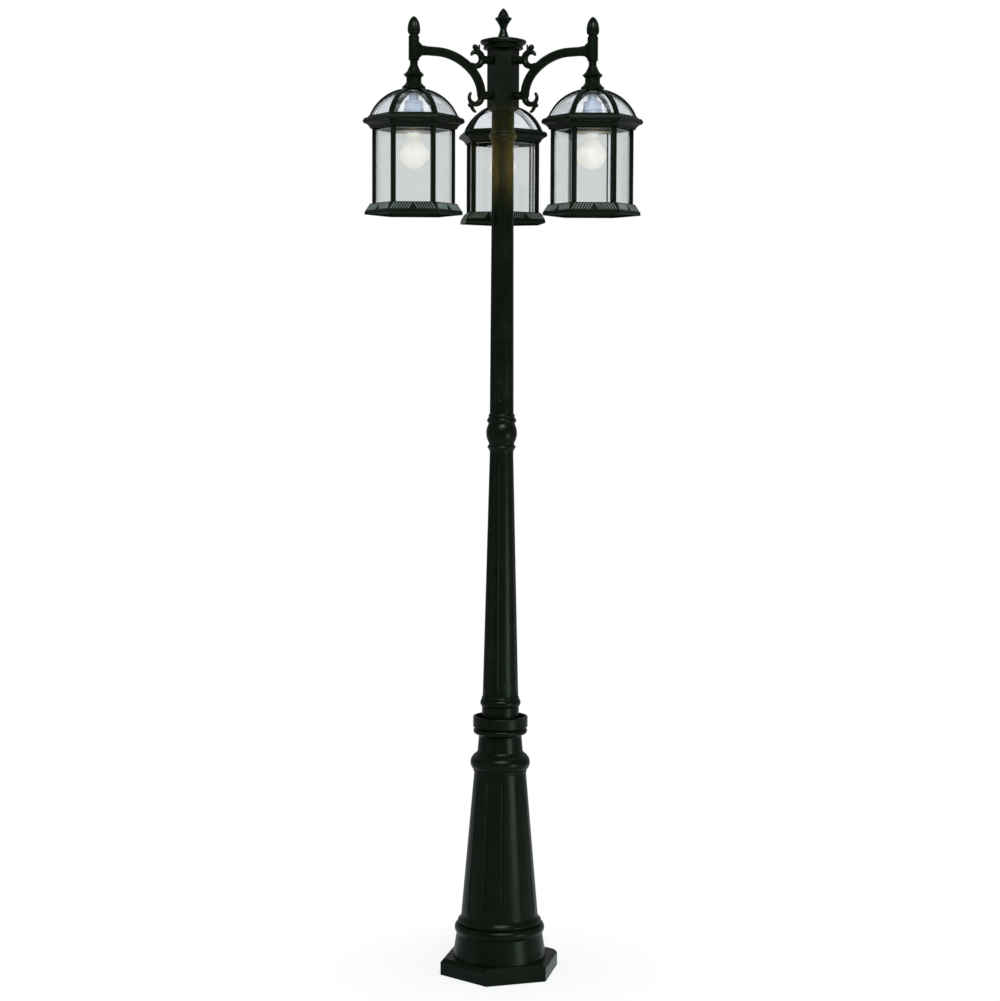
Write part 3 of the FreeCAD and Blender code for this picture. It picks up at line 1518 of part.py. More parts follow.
def make_dome_frame_pattern():
    """Crown, six ribs and the hexagonal cornice, one casting."""
    body = new_body("dome_frame_pattern")
    low = CAGE_TOP
    top = CORNICE_TOP
    tip_low = low + size("cornice_tip_height")
    tip_high = tip_low + size("cornice_tip_width")
    ledge = size("cornice_ledge_corner_radius")
    ledge_level = top - size("cornice_ledge_drop")
    step = size("moulding_step")
    seat_level = top - size("glass_seat_depth")
    cornice = [
        (size("cornice_hollow_corner_radius"), low),
        (size("cornice_low_corner_radius"), low),
        cove(size("cornice_cove_corner_radius"), low + size("cornice_cove_height"), size("cornice_cove")),
        (size("cornice_tip_corner_radius"), tip_low),
        (size("cornice_tip_corner_radius"), tip_high),
        (ledge + step, ledge_level - step * HALF),
        (ledge, ledge_level),
        (size("cornice_top_corner_radius") + step, ledge_level + step),
        (size("cornice_top_corner_radius"), top),
        (size("glass_seat_corner_radius"), top),
        (size("glass_seat_corner_radius"), seat_level),
        (size("cornice_hollow_corner_radius"), seat_level),
    ]
    hexagon_moulding(body, "cornice", cornice, low)
    outer = size("rib_arc_radius")
    inner = outer - size("rib_thickness")
    foot = size("rib_foot_angle")
    head = size("rib_top_angle")
    rib_sketch = new_sketch(body, "rib_outline", "XZ_Plane", HALF_SIXTH_TURN)
    draw(rib_sketch, shell_outline(inner, outer, foot, head))
    rib = pad_solid(body, "rib", rib_sketch, size("rib_width"), symmetric=True)
    repeat_round(body, rib, 6)
    collar = size("crown_collar_radius")
    disc_low = CROWN_TOP - size("crown_thickness")
    bore = size("stem_radius") + size("body_gap")
    turn_solid(body, "crown", [
        (0, CROWN_LOW), (collar, CROWN_LOW), (collar, disc_low), (size("crown_radius"), disc_low),
        (size("crown_radius"), CROWN_TOP), (0, CROWN_TOP),
    ])
    turn_solid(body, "stem_hole", [
        (0, CROWN_LOW), (bore, CROWN_LOW), (bore, CROWN_TOP), (0, CROWN_TOP),
    ], cut=True)
    screw_level = CAGE_TOP + size("frame_rise") * HALF
    inner_face = size("cornice_hollow_corner_radius") * FLAT
    tip = inner_face + size("cage_screw_bite")
    hole = tool_along_x(body, "screw_hole", inner_face * HALF, tip, screw_level,
                        size("cage_screw_radius") + size("thread_gap"))
    repeat_round(body, hole, 3)
    return body


def make_dome_glass_pattern():
    """Six bent panes under the ribs; each is straight across its face."""
    body = new_body("dome_glass_pattern")
    outer = size("rib_arc_radius") - size("rib_thickness") - size("dome_glass_gap")
    inner = outer - size("dome_glass_thickness")
    shift = size("dome_glass_edge") / FLAT
    outline = shell_outline(inner, outer, size("dome_glass_foot_angle"), size("dome_glass_top_angle"))
    sections = []
    for index, side in enumerate((1, -1)):
        sketch = new_sketch(body, f"pane_outline_{index}", "XZ_Plane", HALF_SIXTH_TURN * side, shift * side)
        sections.append(draw(sketch, outline))
    pane = loft_solid(body, "pane", sections)
    repeat_round(body, pane, 6)
    return body


def make_cage_pattern():
    """Six mullions between the flared skirt and the ring that fits inside the cornice."""
    body = new_body("cage_pattern")
    floor = size("skirt_height")
    wall = size("skirt_wall")
    outside = size("skirt_corner_radius")
    inside = outside - wall
    lip = size("skirt_lip")
    top = size("skirt_top_corner_radius")
    opening = size("cage_opening_corner_radius")
    hexagon_moulding(body, "skirt", [
        (opening, floor - wall),
        (top - wall, floor - wall),
        (inside, lip - wall * HALF),
        (inside, 0),
        (outside, 0),
        (outside, lip),
        (top, floor),
        (opening, floor),
    ], floor - wall)
    ring_out = size("cornice_hollow_corner_radius") - size("glass_gap")
    ring_low = CAGE_TOP - size("frame_lip")
    ring_high = CAGE_TOP + size("frame_rise")
    hexagon_moulding(body, "ring", [
        (opening, ring_low), (ring_out, ring_low), (ring_out, ring_high), (opening, ring_high),
    ], ring_low)
    tip = size("mullion_corner_radius")
    back = size("pane_corner_radius") + size("glass_gap") / FLAT
    half = size("mullion_width") * HALF
    chamfer = size("mullion_chamfer")
    slope = THIRD_SLOPE
    section = [
        (back, 0), (back - half * slope, -half), (tip - half * slope, -half),
        (tip - chamfer * slope, -chamfer), (tip - chamfer * slope, chamfer),
        (tip - half * slope, half), (back - half * slope, half),
    ]
    sketch = new_sketch(body, "mullion_outline", "XY_Plane", HALF_SIXTH_TURN, floor)
    mullion = pad_solid(body, "mullion", draw(sketch, section), size("cage_height") - floor)
    repeat_round(body, mullion, 6)
    screw_level = CAGE_TOP + size("frame_rise") * HALF
    hole = tool_along_x(body, "screw_hole", opening * HALF, outside, screw_level,
                        size("cage_screw_radius") + size("thread_gap"))
    repeat_round(body, hole, 3)
    knob = size("knob_shank_radius") + size("thread_gap")
    tool_along_x(body, "knob_hole", KNOB_SEAT - size("knob_bite"), outside, KNOB_LEVEL, knob,
                 turn=size("knob_turn"))
    return body


def make_side_glass_pattern():
    """Six flat panes with bevelled upright edges, standing on the skirt behind the mullions."""
    body = new_body("side_glass_pattern")
    face = size("pane_corner_radius") * FLAT
    back = face - size("pane_thickness")
    half = back * THIRD_SLOPE - size("pane_edge")
    bevel = size("pane_bevel")
    bevel_width = size("pane_bevel_width")
    low = size("skirt_height") + size("glass_gap")
    section = [
        (back, -half), (face - bevel, -half), (face, -half + bevel_width),
        (face, half - bevel_width), (face - bevel, half), (back, half),
    ]
    sketch = draw(new_sketch(body, "pane_outline", "XY_Plane", 0, low), section)
    height = CAGE_TOP - size("frame_lip") - size("glass_gap") - low
    repeat_round(body, pad_solid(body, "pane", sketch, height), 6)
    return body


def make_lantern_screws_pattern():
    """Three screws from the ring into the cornice, and the round-headed screw low on one mullion."""
    body = new_body("lantern_screws_pattern")
    level = CAGE_TOP + size("frame_rise") * HALF
    seat = size("cage_opening_corner_radius") * FLAT
    tip = size("cornice_hollow_corner_radius") * FLAT + size("cage_screw_bite")
    radius = size("cage_screw_radius")
    head = size("cage_screw_head_radius")
    screw = turn_solid(body, "screw", [
        (seat - size("cage_screw_head"), level), (tip, level), (tip, level + radius), (seat, level + radius),
        (seat, level + head), (seat - size("cage_screw_head"), level + head),
    ], axis="Edge1")
    repeat_round(body, screw, 3)
    shank = size("knob_shank_radius")
    turn_solid(body, "knob", [
        (KNOB_SEAT - size("knob_bite"), KNOB_LEVEL),
        (KNOB_SEAT + size("knob_length"), KNOB_LEVEL),
        bead(KNOB_SEAT, KNOB_LEVEL + size("knob_radius"), size("knob_crown")),
        (KNOB_SEAT, KNOB_LEVEL + shank),
        (KNOB_SEAT - size("knob_bite"), KNOB_LEVEL + shank),
    ], turn=size("knob_turn"), axis="Edge1")
    return body


def make_stem_pattern():
    """Hollow threaded stem from the lamp holder up into the sleeve."""
    body = new_body("stem_pattern")
    bore = size("stem_bore")
    radius = size("stem_radius")
    turn_solid(body, "tube", [(bore, STEM_LOW), (radius, STEM_LOW), (radius, STEM_HIGH), (bore, STEM_HIGH)])
    return body


def make_stem_nuts_pattern():
    """The nut that carries the lantern in the sleeve, and the nut under the crown."""
    body = new_body("stem_nuts_pattern")
    upper = nut_sketch(body, "upper_outline", size("stem_nut_across"), STEM_NUT_LOW)
    pad_solid(body, "upper_nut", upper, size("stem_nut_height"))
    lower = nut_sketch(body, "lower_outline", size("holder_nut_across"), HOLDER_TOP)
    pad_solid(body, "lower_nut", lower, size("holder_nut_height"))
    bore = size("stem_radius") + size("thread_gap")
    turn_solid(body, "thread", [(0, STEM_LOW), (bore, STEM_LOW), (bore, STEM_HIGH), (0, STEM_HIGH)], cut=True)
    return body


def make_lamp_holder_pattern():
    """White holder with a deep socket for the bulb and a threaded hole for the stem."""
    body = new_body("lamp_holder_pattern")
    radius = size("holder_radius")
    neck = size("holder_neck_radius")
    hub = size("holder_stem_radius")
    thread = size("stem_radius") + size("thread_gap")
    wire = size("holder_wire_radius")
    socket_top = HOLDER_LOW + size("holder_socket_depth")
    thread_low = HOLDER_TOP - size("holder_thread_depth")
    shoulder = HOLDER_LOW + size("holder_shoulder_height")
    hub_low = HOLDER_TOP - size("holder_stem_height")
    step = size("moulding_step")
    turn_solid(body, "turned", [
        (SOCKET_RADIUS, HOLDER_LOW),
        (radius - step * HALF, HOLDER_LOW),
        bead(radius, HOLDER_LOW + step * HALF, step * (HALF * HALF * HALF)),
        (radius, HOLDER_LOW + size("holder_neck_height") - step),
        (neck, HOLDER_LOW + size("holder_neck_height")),
        (neck, shoulder),
        bead(hub + step, hub_low, step * HALF),
        (hub, hub_low),
        (hub, HOLDER_TOP),
        (thread, HOLDER_TOP),
        (thread, thread_low),
        (wire, thread_low),
        (wire, socket_top),
        (SOCKET_RADIUS, socket_top),
    ])
    return body


def make_reflector_pattern():
    """Thin disc with a collar that grips the lamp holder near its mouth."""
    body = new_body("reflector_pattern")
    bore = size("holder_radius") + size("bearing_gap")
    low = HOLDER_LOW + size("disc_rise")
    thickness = size("disc_thickness")
    high = low + size("disc_collar_height")
    turn_solid(body, "pressed", [
        (bore, low), (size("disc_radius"), low), (size("disc_radius"), low + thickness),
        (bore + thickness, low + thickness), (bore + thickness, high), (bore, high),
    ])
    return body


def make_bulb_base_pattern():
    """Screw cap of the bulb, inside the lamp holder's socket."""
    body = new_body("bulb_base_pattern")
    radius = size("bulb_base_radius")
    tip = size("bulb_base_tip_radius")
    thread_top = BULB_SEAT + size("bulb_base_thread")
    top = BULB_SEAT + size("bulb_base_length")
    turn_solid(body, "turned", [
        (0, BULB_SEAT), (radius, BULB_SEAT), (radius, thread_top), (tip, top), (0, top),
    ])
    return body


def make_bulb_glass_pattern():
    """Blown globe: a thin ball that narrows to a neck on the screw cap."""
    body = new_body("bulb_glass_pattern")
    ball = size("bulb_radius")
    wall = size("bulb_wall")
    neck = size("bulb_neck_radius")
    neck_low = BULB_SEAT - size("bulb_neck_length")
    centre = BULB_SEAT - size("bulb_length") + ball
    angle = size("bulb_shoulder_angle")
    inner = ball - wall
    turn_solid(body, "blown", [
        (0, centre - ball),
        bend(ball * cosine(angle), centre + ball * sine(angle), ball, 1),
        (neck, neck_low),
        (neck, BULB_SEAT),
        (neck - wall, BULB_SEAT),
        (neck - wall, neck_low),
        (inner * cosine(angle), centre + inner * sine(angle)),
        bend(0, centre - inner, inner, -1),
    ])
    return body


def make_round_the_post(label, pattern):
    """One piece for each arm, as one sub-part of three solids."""
    pieces = []
    for index, name in enumerate(ARM_TURNS, start=1):
        pieces.append(placed_copy(f"{label}_at_arm_{index}", [pattern], turn=size(name)))
    return placed_copy(label, pieces, z=HUB_SEAT)


def make_arms():
    """The arms, what fastens them, and the wires and finials that they carry."""
    arm = make_arm_pattern()
    acorn = make_acorn_pattern()
    subparts = [
        make_round_the_post("arm_screws", make_arm_screw()),
        make_round_the_post("arm_lock_nuts", make_arm_lock_nut()),
        make_round_the_post("lead_wires", make_lead_wire()),
        make_round_the_post("wire_connectors", make_wire_connector()),
    ]
    for index, name in enumerate(ARM_TURNS, start=1):
        turn = size(name)
        subparts.append(placed_copy(f"arm_{index}", [arm], z=HUB_SEAT, turn=turn))
        x = size("arm_reach") * cosine(turn)
        y = size("arm_reach") * sine(turn)
        subparts.append(placed_copy(f"acorn_finial_{index}", [acorn], x, y, SLEEVE_TOP, turn))
    return subparts


def make_lanterns():
    """Three lanterns from one set of pattern pieces, each turned on its stem."""
    patterns = {
        "bell": make_bell_pattern(),
        "dome_frame": make_dome_frame_pattern(),
        "dome_glass": make_dome_glass_pattern(),
        "cage": make_cage_pattern(),
        "side_glass": make_side_glass_pattern(),
        "lantern_screws": make_lantern_screws_pattern(),
        "stem": make_stem_pattern(),
        "stem_nuts": make_stem_nuts_pattern(),
        "lamp_holder": make_lamp_holder_pattern(),
        "reflector": make_reflector_pattern(),
        "bulb_base": make_bulb_base_pattern(),
        "bulb_glass": make_bulb_glass_pattern(),
    }
    subparts = []
    for index, (arm_turn, lantern_turn) in enumerate(zip(ARM_TURNS, LANTERN_TURNS), start=1):
        x = size("arm_reach") * cosine(size(arm_turn))
        y = size("arm_reach") * sine(size(arm_turn))
        for name, pattern in patterns.items():
            label = f"{name}_{index}"
            subparts.append(placed_copy(label, [pattern], x, y, LANTERN_LEVEL, size(lantern_turn)))
    return subparts


def check(subparts):
    """Stop if any object failed or any sub-part's shape is missing or faulty."""
    faults = [item.Label for item in doc.Objects if {"Invalid", "Error"} & set(item.State)]
    for item in subparts:
        if item.Shape.isNull() or not item.Shape.isValid() or not item.Shape.Solids:
            faults.append(item.Label)
    if faults:
        raise RuntimeError("faulty objects: " + ", ".join(faults))


def main():
    subparts = [
        make_anchor_plate(),
        make_base_casting(),
        make_foot_set_screws(),
        make_lower_shaft(),
        make_shaft_coupling(),
        make_upper_shaft(),
        make_neck_collar(),
        make_hub(),
        make_hub_crossbar(),
        make_centre_rod(),
        make_rod_nuts(),
        make_hub_cap(),
        make_top_finial(),
    ]
    subparts += make_arms()
    subparts += make_lanterns()
    doc.recompute()
    check(subparts)
    os.makedirs("parts", exist_ok=True)
    for item in subparts:
        item.Shape.exportStep(f"parts/{item.Label}.step")
        print(item.Label, len(item.Shape.Solids), round(item.Shape.Volume))


main()
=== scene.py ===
import json
import math

import bpy
from mathutils import Matrix, Vector


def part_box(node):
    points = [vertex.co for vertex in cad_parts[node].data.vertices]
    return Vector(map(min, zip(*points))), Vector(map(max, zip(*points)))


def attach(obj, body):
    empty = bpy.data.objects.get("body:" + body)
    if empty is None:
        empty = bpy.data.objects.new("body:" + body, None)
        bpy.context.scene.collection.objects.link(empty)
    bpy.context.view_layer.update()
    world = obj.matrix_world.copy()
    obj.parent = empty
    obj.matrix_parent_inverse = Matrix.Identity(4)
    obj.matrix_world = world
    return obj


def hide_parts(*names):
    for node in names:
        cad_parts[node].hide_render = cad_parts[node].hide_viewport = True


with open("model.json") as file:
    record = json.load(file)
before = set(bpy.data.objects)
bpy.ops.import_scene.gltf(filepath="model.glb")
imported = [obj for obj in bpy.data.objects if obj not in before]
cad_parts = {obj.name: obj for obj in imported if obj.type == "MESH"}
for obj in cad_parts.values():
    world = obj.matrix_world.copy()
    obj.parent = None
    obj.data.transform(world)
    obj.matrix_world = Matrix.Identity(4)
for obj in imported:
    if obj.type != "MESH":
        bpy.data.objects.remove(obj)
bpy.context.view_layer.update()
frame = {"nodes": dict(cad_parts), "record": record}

MM = 0.001
HEADS = (1, 2, 3)

# The camera that took the photograph, with the post's axis on the origin
IMAGE_HEIGHT_PX = 1001
FOCAL_PX = 2178.0
CAMERA_DISTANCE = 4.85
CAMERA_HEIGHT = 1.412
CAMERA_SIDE = -0.0029
CAMERA_TILT_DEG = 4.08
CAMERA_ROLL_DEG = 0.25
CAMERA_CLIP_END = 100.0
SENSOR_MM = 36.0

# Skirt of a lantern: corner radii and heights of its sloped faces, and the ribs cast on them.
# A rib leans by RIB_LEAN over its length and keeps RIB_MARGIN from the ends of the slope.
SKIRT_LOW_RADIUS = 106.0 * MM
SKIRT_TOP_RADIUS = 94.0 * MM
SKIRT_LIP = 6.0 * MM
SKIRT_HEIGHT = 24.0 * MM
RIBS_PER_HALF = 7
RIB_PITCH = 6.0 * MM
RIB_WIDTH = 3.4 * MM
RIB_RIDGE_WIDTH = 1.6 * MM
RIB_HEIGHT = 1.6 * MM
RIB_LEAN = 8.0 * MM
RIB_MARGIN = 3.0 * MM
LANTERN_TURN_DEG = {1: -28.7, 2: 31.3, 3: 8.0}
HEXAGON_SIDES = 6
HEXAGON_FLAT = math.cos(math.pi / HEXAGON_SIDES)

# Acorn and top finial: (drop below the tip, radius) in millimetres, and the lobes cast on them.
# A flute is the share of the radius by which the wall is drawn in between two lobes.
ACORN_LOBES = 8
ACORN_PROFILE = [
    (42.0, 8.6), (41.4, 9.3), (39.0, 9.25), (38.6, 10.2), (37.0, 11.6), (35.0, 12.8), (32.0, 13.5), (28.0, 13.7),
    (24.0, 13.4), (20.0, 12.9), (15.0, 11.8), (11.0, 10.5), (6.0, 7.6), (3.0, 5.2), (1.0, 2.8), (0.0, 0.8),
]
ACORN_FLUTE = 0.075
FINIAL_LOBES = 6
FINIAL_PROFILE = [
    (63.0, 12.0), (61.6, 11.9), (59.0, 11.2), (55.5, 10.0), (51.0, 8.4), (47.0, 7.3), (43.0, 7.4), (40.0, 8.2),
    (36.0, 9.8), (31.0, 12.8), (27.0, 15.6), (23.5, 18.3), (22.0, 18.8), (20.8, 17.4), (19.2, 13.6), (17.6, 12.3),
    (15.0, 11.6), (12.0, 10.4), (9.0, 8.9), (6.0, 7.0), (3.0, 4.6), (1.0, 2.3), (0.0, 0.7),
]
FINIAL_FLUTE = 0.1
SEGMENTS_PER_LOBE = 12
CREASE_SHARPNESS = 8
LOBED_SMOOTH_DEG = 50.0

# Dome-headed lock screw on the side of each arm, just short of its sleeve
ARM_SCREW_REACH = 204.0 * MM
ARM_SCREW_LEVEL = 2.0445
ARM_SCREW_RADIUS = 3.2 * MM
ARM_SCREW_SEAT = 8.9 * MM
ARM_SCREW_DOME = 1.8 * MM
ARM_SCREW_RINGS = 5
ARM_SCREW_SEGMENTS = 20
ARM_SCREW_TOP_SHARE = 0.92
ARM_TURN_DEG = {1: 210.0, 2: 330.0, 3: 90.0}

# Coats: colour stops of their clouds and the gloss, which takes on some of the coat's green
COAT_STOPS = [(0.3, (0.0012, 0.0024, 0.0008)), (0.55, (0.0020, 0.0038, 0.0015)), (0.75, (0.0036, 0.0060, 0.0032))]
# Skirt ribs: a lighter copy of the coat, a painted highlight where the raised ribs catch the light
RIB_HIGHLIGHT_STOPS = [(0.3, (0.065, 0.078, 0.066)), (0.55, (0.095, 0.112, 0.096)), (0.75, (0.125, 0.145, 0.128))]
COAT_GLOSS = 0.09
COAT_SHEEN_TINT = (0.78, 1.0, 0.80, 1)

PANE_TINT = (0.80, 0.818, 0.821)
DOME_TINT = (0.88, 0.905, 0.93)
GLASS_IOR = 1.45
DUSTY_SHARE = 0.96
BULB_GLOW = 0.67
BULB_GLOSS = 0.2
CAP_THREAD_SCALE = 90.0

# Plain finishes by slot: the scale of their clouds, the colours and roughness that these drift between, and their grain
PLAIN_FINISHES = {
    "steel": dict(name="zinc_plated_steel", cloud_scale=140.0, low=(0.42, 0.43, 0.45), high=(0.6, 0.61, 0.63),
                  roughness=(0.25, 0.45), metallic=1.0, grain=dict(scale=1800.0, strength=0.15, distance=0.1 * MM)),
    # Porcelain: a white glaze whose colour is darkened and tinted blue-lilac, a painted shade
    "white_porcelain": dict(name="porcelain_with_painted_shade", cloud_scale=120.0, low=(0.54, 0.59, 0.70),
                            high=(0.60, 0.65, 0.76), roughness=(0.12, 0.25),
                            grain=dict(scale=300.0, strength=0.1, distance=0.2 * MM)),
    "gold_disc": dict(name="satin_gold_disc", cloud_scale=160.0, low=(0.17, 0.11, 0.04), high=(0.26, 0.17, 0.07),
                      roughness=(0.28, 0.42), metallic=1.0,
                      grain=dict(scale=1500.0, strength=0.1, distance=0.1 * MM)),
    "wire_jacket": dict(name="wire_jacket", cloud_scale=180.0, low=(0.02, 0.02, 0.02), high=(0.04, 0.04, 0.04),
                        roughness=(0.5, 0.65), grain=dict(scale=1400.0, strength=0.2, distance=0.1 * MM)),
    "connector_plastic": dict(name="connector_plastic", cloud_scale=180.0, low=(0.55, 0.2, 0.03),
                              high=(0.7, 0.3, 0.06), roughness=(0.4, 0.55),
                              grain=dict(scale=1400.0, strength=0.2, distance=0.1 * MM)),
}

# Studio lights: where each stands and points, its size, its power in watts and its colour
STUDIO_LIGHTS = [
    dict(name="left_box", place=(-3.0, -1.2, 1.3), aim=(0, 0, 1.1), width=0.8, height=2.4, power=5.0,
         colour=(1.0, 1.0, 0.97)),
    dict(name="right_box", place=(2.4, -1.9, 0.45), aim=(0, 0, 0.4), width=1.0, height=0.8, power=30.0,
         colour=(0.88, 1.0, 0.94)),
    dict(name="front_strip", place=(0.4, -3.0, 4.0), aim=(0, 0, 1.4), width=2.4, height=0.5, power=200.0,
         colour=(0.90, 0.97, 1.0)),
    dict(name="top_box", place=(0.3, -1.2, 4.4), aim=(0, 0, 1.2), width=2.2, height=0.9, power=20.0,
         colour=(0.86, 0.94, 1.0)),
]

# Warm light that each lantern throws on the post: its distance from the post, its direction, its height and its power
GLOW_REACH = 0.122
GLOW_TURN_DEG = {1: 198.0, 2: 342.0, 3: 90.0}
GLOW_LEVEL = 1.81
GLOW_AIM_RISE = 0.02
GLOW_WIDTH = 0.08
GLOW_HEIGHT = 0.13
GLOW_POWER = {1: 0.8, 2: 1.3, 3: 0.3}
GLOW_COLOUR = (1.0, 0.45, 0.17)
GLOW_SPREAD_DEG = 80.0

# Background: its own light, and how white it is off gloss
WORLD_COLOUR = (0.9, 0.95, 1.0, 1)
WORLD_STRENGTH = 0.27
WHITE = (1, 1, 1, 1)
GLOSSY_WHITE_SHARE = 0.1

# Floor: it fades into the white background between two distances from the post
FLOOR_RADIUS = 6.0
FLOOR_SEGMENTS = 96
FLOOR_ROUGHNESS = 0.9
FLOOR_FADE_START = 0.12
FLOOR_FADE_END = 0.42
FLOOR_WHITE_SHARE = 0.72


# ---------- materials ----------

def new_material(name):
    """A material with a node tree; returns it with its Principled shader."""
    material = bpy.data.materials.new(name)
    material.use_nodes = True
    return material, material.node_tree.nodes["Principled BSDF"]


def node(material, kind, **inputs):
    """Add a node and set its inputs by name, with spaces written as underscores."""
    item = material.node_tree.nodes.new(kind)
    for key, value in inputs.items():
        item.inputs[key.replace("_", " ")].default_value = value
    return item


def link(material, source, target):
    """Join an output to an input."""
    material.node_tree.links.new(source, target)


def noise(material, scale, detail=4.0, roughness=0.55):
    """Noise in the object's own metres."""
    place = node(material, "ShaderNodeTexCoord")
    texture = node(material, "ShaderNodeTexNoise", Scale=scale, Detail=detail, Roughness=roughness)
    link(material, place.outputs["Object"], texture.inputs["Vector"])
    return texture.outputs["Fac"]


def ramp(material, source, stops):
    """Colour ramp over a value; each stop is (position, colour)."""
    item = material.node_tree.nodes.new("ShaderNodeValToRGB")
    elements = item.color_ramp.elements
    elements[0].position, elements[0].color = stops[0][0], (*stops[0][1], 1)
    elements[1].position, elements[1].color = stops[-1][0], (*stops[-1][1], 1)
    for position, colour in stops[1:-1]:
        elements.new(position).color = (*colour, 1)
    link(material, source, item.inputs["Fac"])
    return item.outputs["Color"]


def spread(material, source, low, high):
    """Map a 0 to 1 value to a range."""
    item = node(material, "ShaderNodeMapRange")
    item.inputs["To Min"].default_value = low
    item.inputs["To Max"].default_value = high
    link(material, source, item.inputs["Value"])
    return item.outputs["Result"]


def bump(material, layers):
    """Chain of bumps; each layer is (height value, strength, distance in metres)."""
    normal = None
    for source, strength, distance in layers:
        item = node(material, "ShaderNodeBump", Strength=strength, Distance=distance)
        link(material, source, item.inputs["Height"])
        if normal:
            link(material, normal, item.inputs["Normal"])
        normal = item.outputs["Normal"]
    return normal


def coat_material(name, stops):
    """Powder coat over a sand casting: pebbled and uneven in gloss, cloudy between the colours of its stops."""
    material, shader = new_material(name)
    cloud = noise(material, scale=22.0, detail=5.0)
    grain = noise(material, scale=900.0, detail=3.0)
    pebble = noise(material, scale=260.0, detail=2.0)
    link(material, ramp(material, cloud, stops), shader.inputs["Base Color"])
    link(material, spread(material, cloud, low=0.24, high=0.36), shader.inputs["Roughness"])
    shader.inputs["Specular IOR Level"].default_value = COAT_GLOSS
    shader.inputs["Specular Tint"].default_value = COAT_SHEEN_TINT
    layers = [(pebble, 0.35, 0.6 * MM), (grain, 0.25, 0.2 * MM)]
    link(material, bump(material, layers), shader.inputs["Normal"])
    return material


def plain_material(name, cloud_scale, low, high, roughness, metallic=0.0, grain=None):
    """Finish whose colour and roughness drift with its clouds, under a fine grain."""
    material, shader = new_material(name)
    cloud = noise(material, cloud_scale)
    link(material, ramp(material, cloud, [(0.3, low), (0.7, high)]), shader.inputs["Base Color"])
    link(material, spread(material, cloud, *roughness), shader.inputs["Roughness"])
    shader.inputs["Metallic"].default_value = metallic
    if grain:
        layers = [(noise(material, grain["scale"]), grain["strength"], grain["distance"])]
        link(material, bump(material, layers), shader.inputs["Normal"])
    return material


def clear_glass_material(name, tint):
    """Clear glass with faint waves, a little dust and its own slight grey."""
    material, shader = new_material(name)
    wave = noise(material, scale=7.0, detail=1.0)
    dust = noise(material, scale=60.0, detail=6.0, roughness=0.7)
    dusty_tint = tuple(DUSTY_SHARE * part for part in tint)
    link(material, ramp(material, dust, [(0.35, tint), (0.8, dusty_tint)]), shader.inputs["Base Color"])
    shader.inputs["Transmission Weight"].default_value = 1.0
    shader.inputs["IOR"].default_value = GLASS_IOR
    link(material, spread(material, dust, low=0.0, high=0.05), shader.inputs["Roughness"])
    link(material, bump(material, [(wave, 0.12, 2 * MM)]), shader.inputs["Normal"])
    return material


def bulb_material():
    """Frosted, lit globe with a faint mottle."""
    material, shader = new_material("lit_frosted_glass")
    mottle = noise(material, scale=90.0, detail=3.0)
    glow = ramp(material, mottle, [(0.3, (1.0, 0.94, 0.82)), (0.7, (1.0, 0.97, 0.89))])
    frost = ramp(material, mottle, [(0.3, (0.54, 0.54, 0.52)), (0.7, (0.6, 0.6, 0.58))])
    link(material, glow, shader.inputs["Emission Color"])
    shader.inputs["Emission Strength"].default_value = BULB_GLOW
    link(material, frost, shader.inputs["Base Color"])
    link(material, spread(material, mottle, low=0.5, high=0.65), shader.inputs["Roughness"])
    shader.inputs["Specular IOR Level"].default_value = BULB_GLOSS
    return material


def cap_metal_material():
    """Bright metal of a bulb's cap, with its rolled thread."""
    material = plain_material("rolled_cap_metal", cloud_scale=200.0, low=(0.6, 0.6, 0.58), high=(0.76, 0.76, 0.73),
                              roughness=(0.2, 0.35), metallic=1.0)
    place = node(material, "ShaderNodeTexCoord")
    thread = node(material, "ShaderNodeTexWave", Scale=CAP_THREAD_SCALE)
    thread.bands_direction = "Z"
    link(material, place.outputs["Object"], thread.inputs["Vector"])
    shader = material.node_tree.nodes["Principled BSDF"]
    link(material, bump(material, [(thread.outputs["Fac"], 0.6, 0.8 * MM)]), shader.inputs["Normal"])
    return material


def make_materials():
    """One material for each finish slot of the record."""
    coat = coat_material("greenish_black_coat", COAT_STOPS)
    materials = {
        "coated_aluminium": coat,
        "coated_steel": coat,
        "clear_glass": clear_glass_material("clear_pane_glass", PANE_TINT),
        "frosted_glass": bulb_material(),
        "bulb_cap_metal": cap_metal_material(),
    }
    for slot, finish in PLAIN_FINISHES.items():
        materials[slot] = plain_material(**finish)
    return materials


def dress_nodes(materials):
    """Give every solid the material of its slot; the dome's panes are clearer, the set screws are painted over."""
    own = {f"dome_glass_{head}": clear_glass_material(f"clear_dome_glass_{head}", DOME_TINT) for head in HEADS}
    own["foot_set_screws"] = materials["coated_steel"]
    for part in frame["record"]["subparts"]:
        item = frame["nodes"][part["node"]]
        item.data.materials.clear()
        item.data.materials.append(own.get(part["node"], materials[part["material_slot"]]))


# ---------- pieces ----------

def band_faces(rows, segments):
    """Four-sided faces between rows of points that run round a piece."""
    faces = []
    for row in range(rows - 1):
        low = row * segments
        for index in range(segments):
            after = (index + 1) % segments
            faces.append((low + index, low + after, low + segments + after, low + segments + index))
    return faces


def add_piece(name, points, faces, body, material, smooth_angle_deg=35.0):
    """A mesh piece that rides on a body and takes the material it is given."""
    mesh = bpy.data.meshes.new(name)
    mesh.from_pydata(points, [], faces)
    mesh.validate()
    mesh.materials.append(material)
    item = bpy.data.objects.new(name, mesh)
    bpy.context.scene.collection.objects.link(item)
    mesh.shade_smooth()
    mesh.set_sharp_from_angle(angle=math.radians(smooth_angle_deg))
    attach(item, body)
    return item


def middle(name):
    """Middle of a solid's box, seen from above."""
    low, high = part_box(name)
    return (low[0] + high[0]) / 2, (low[1] + high[1]) / 2


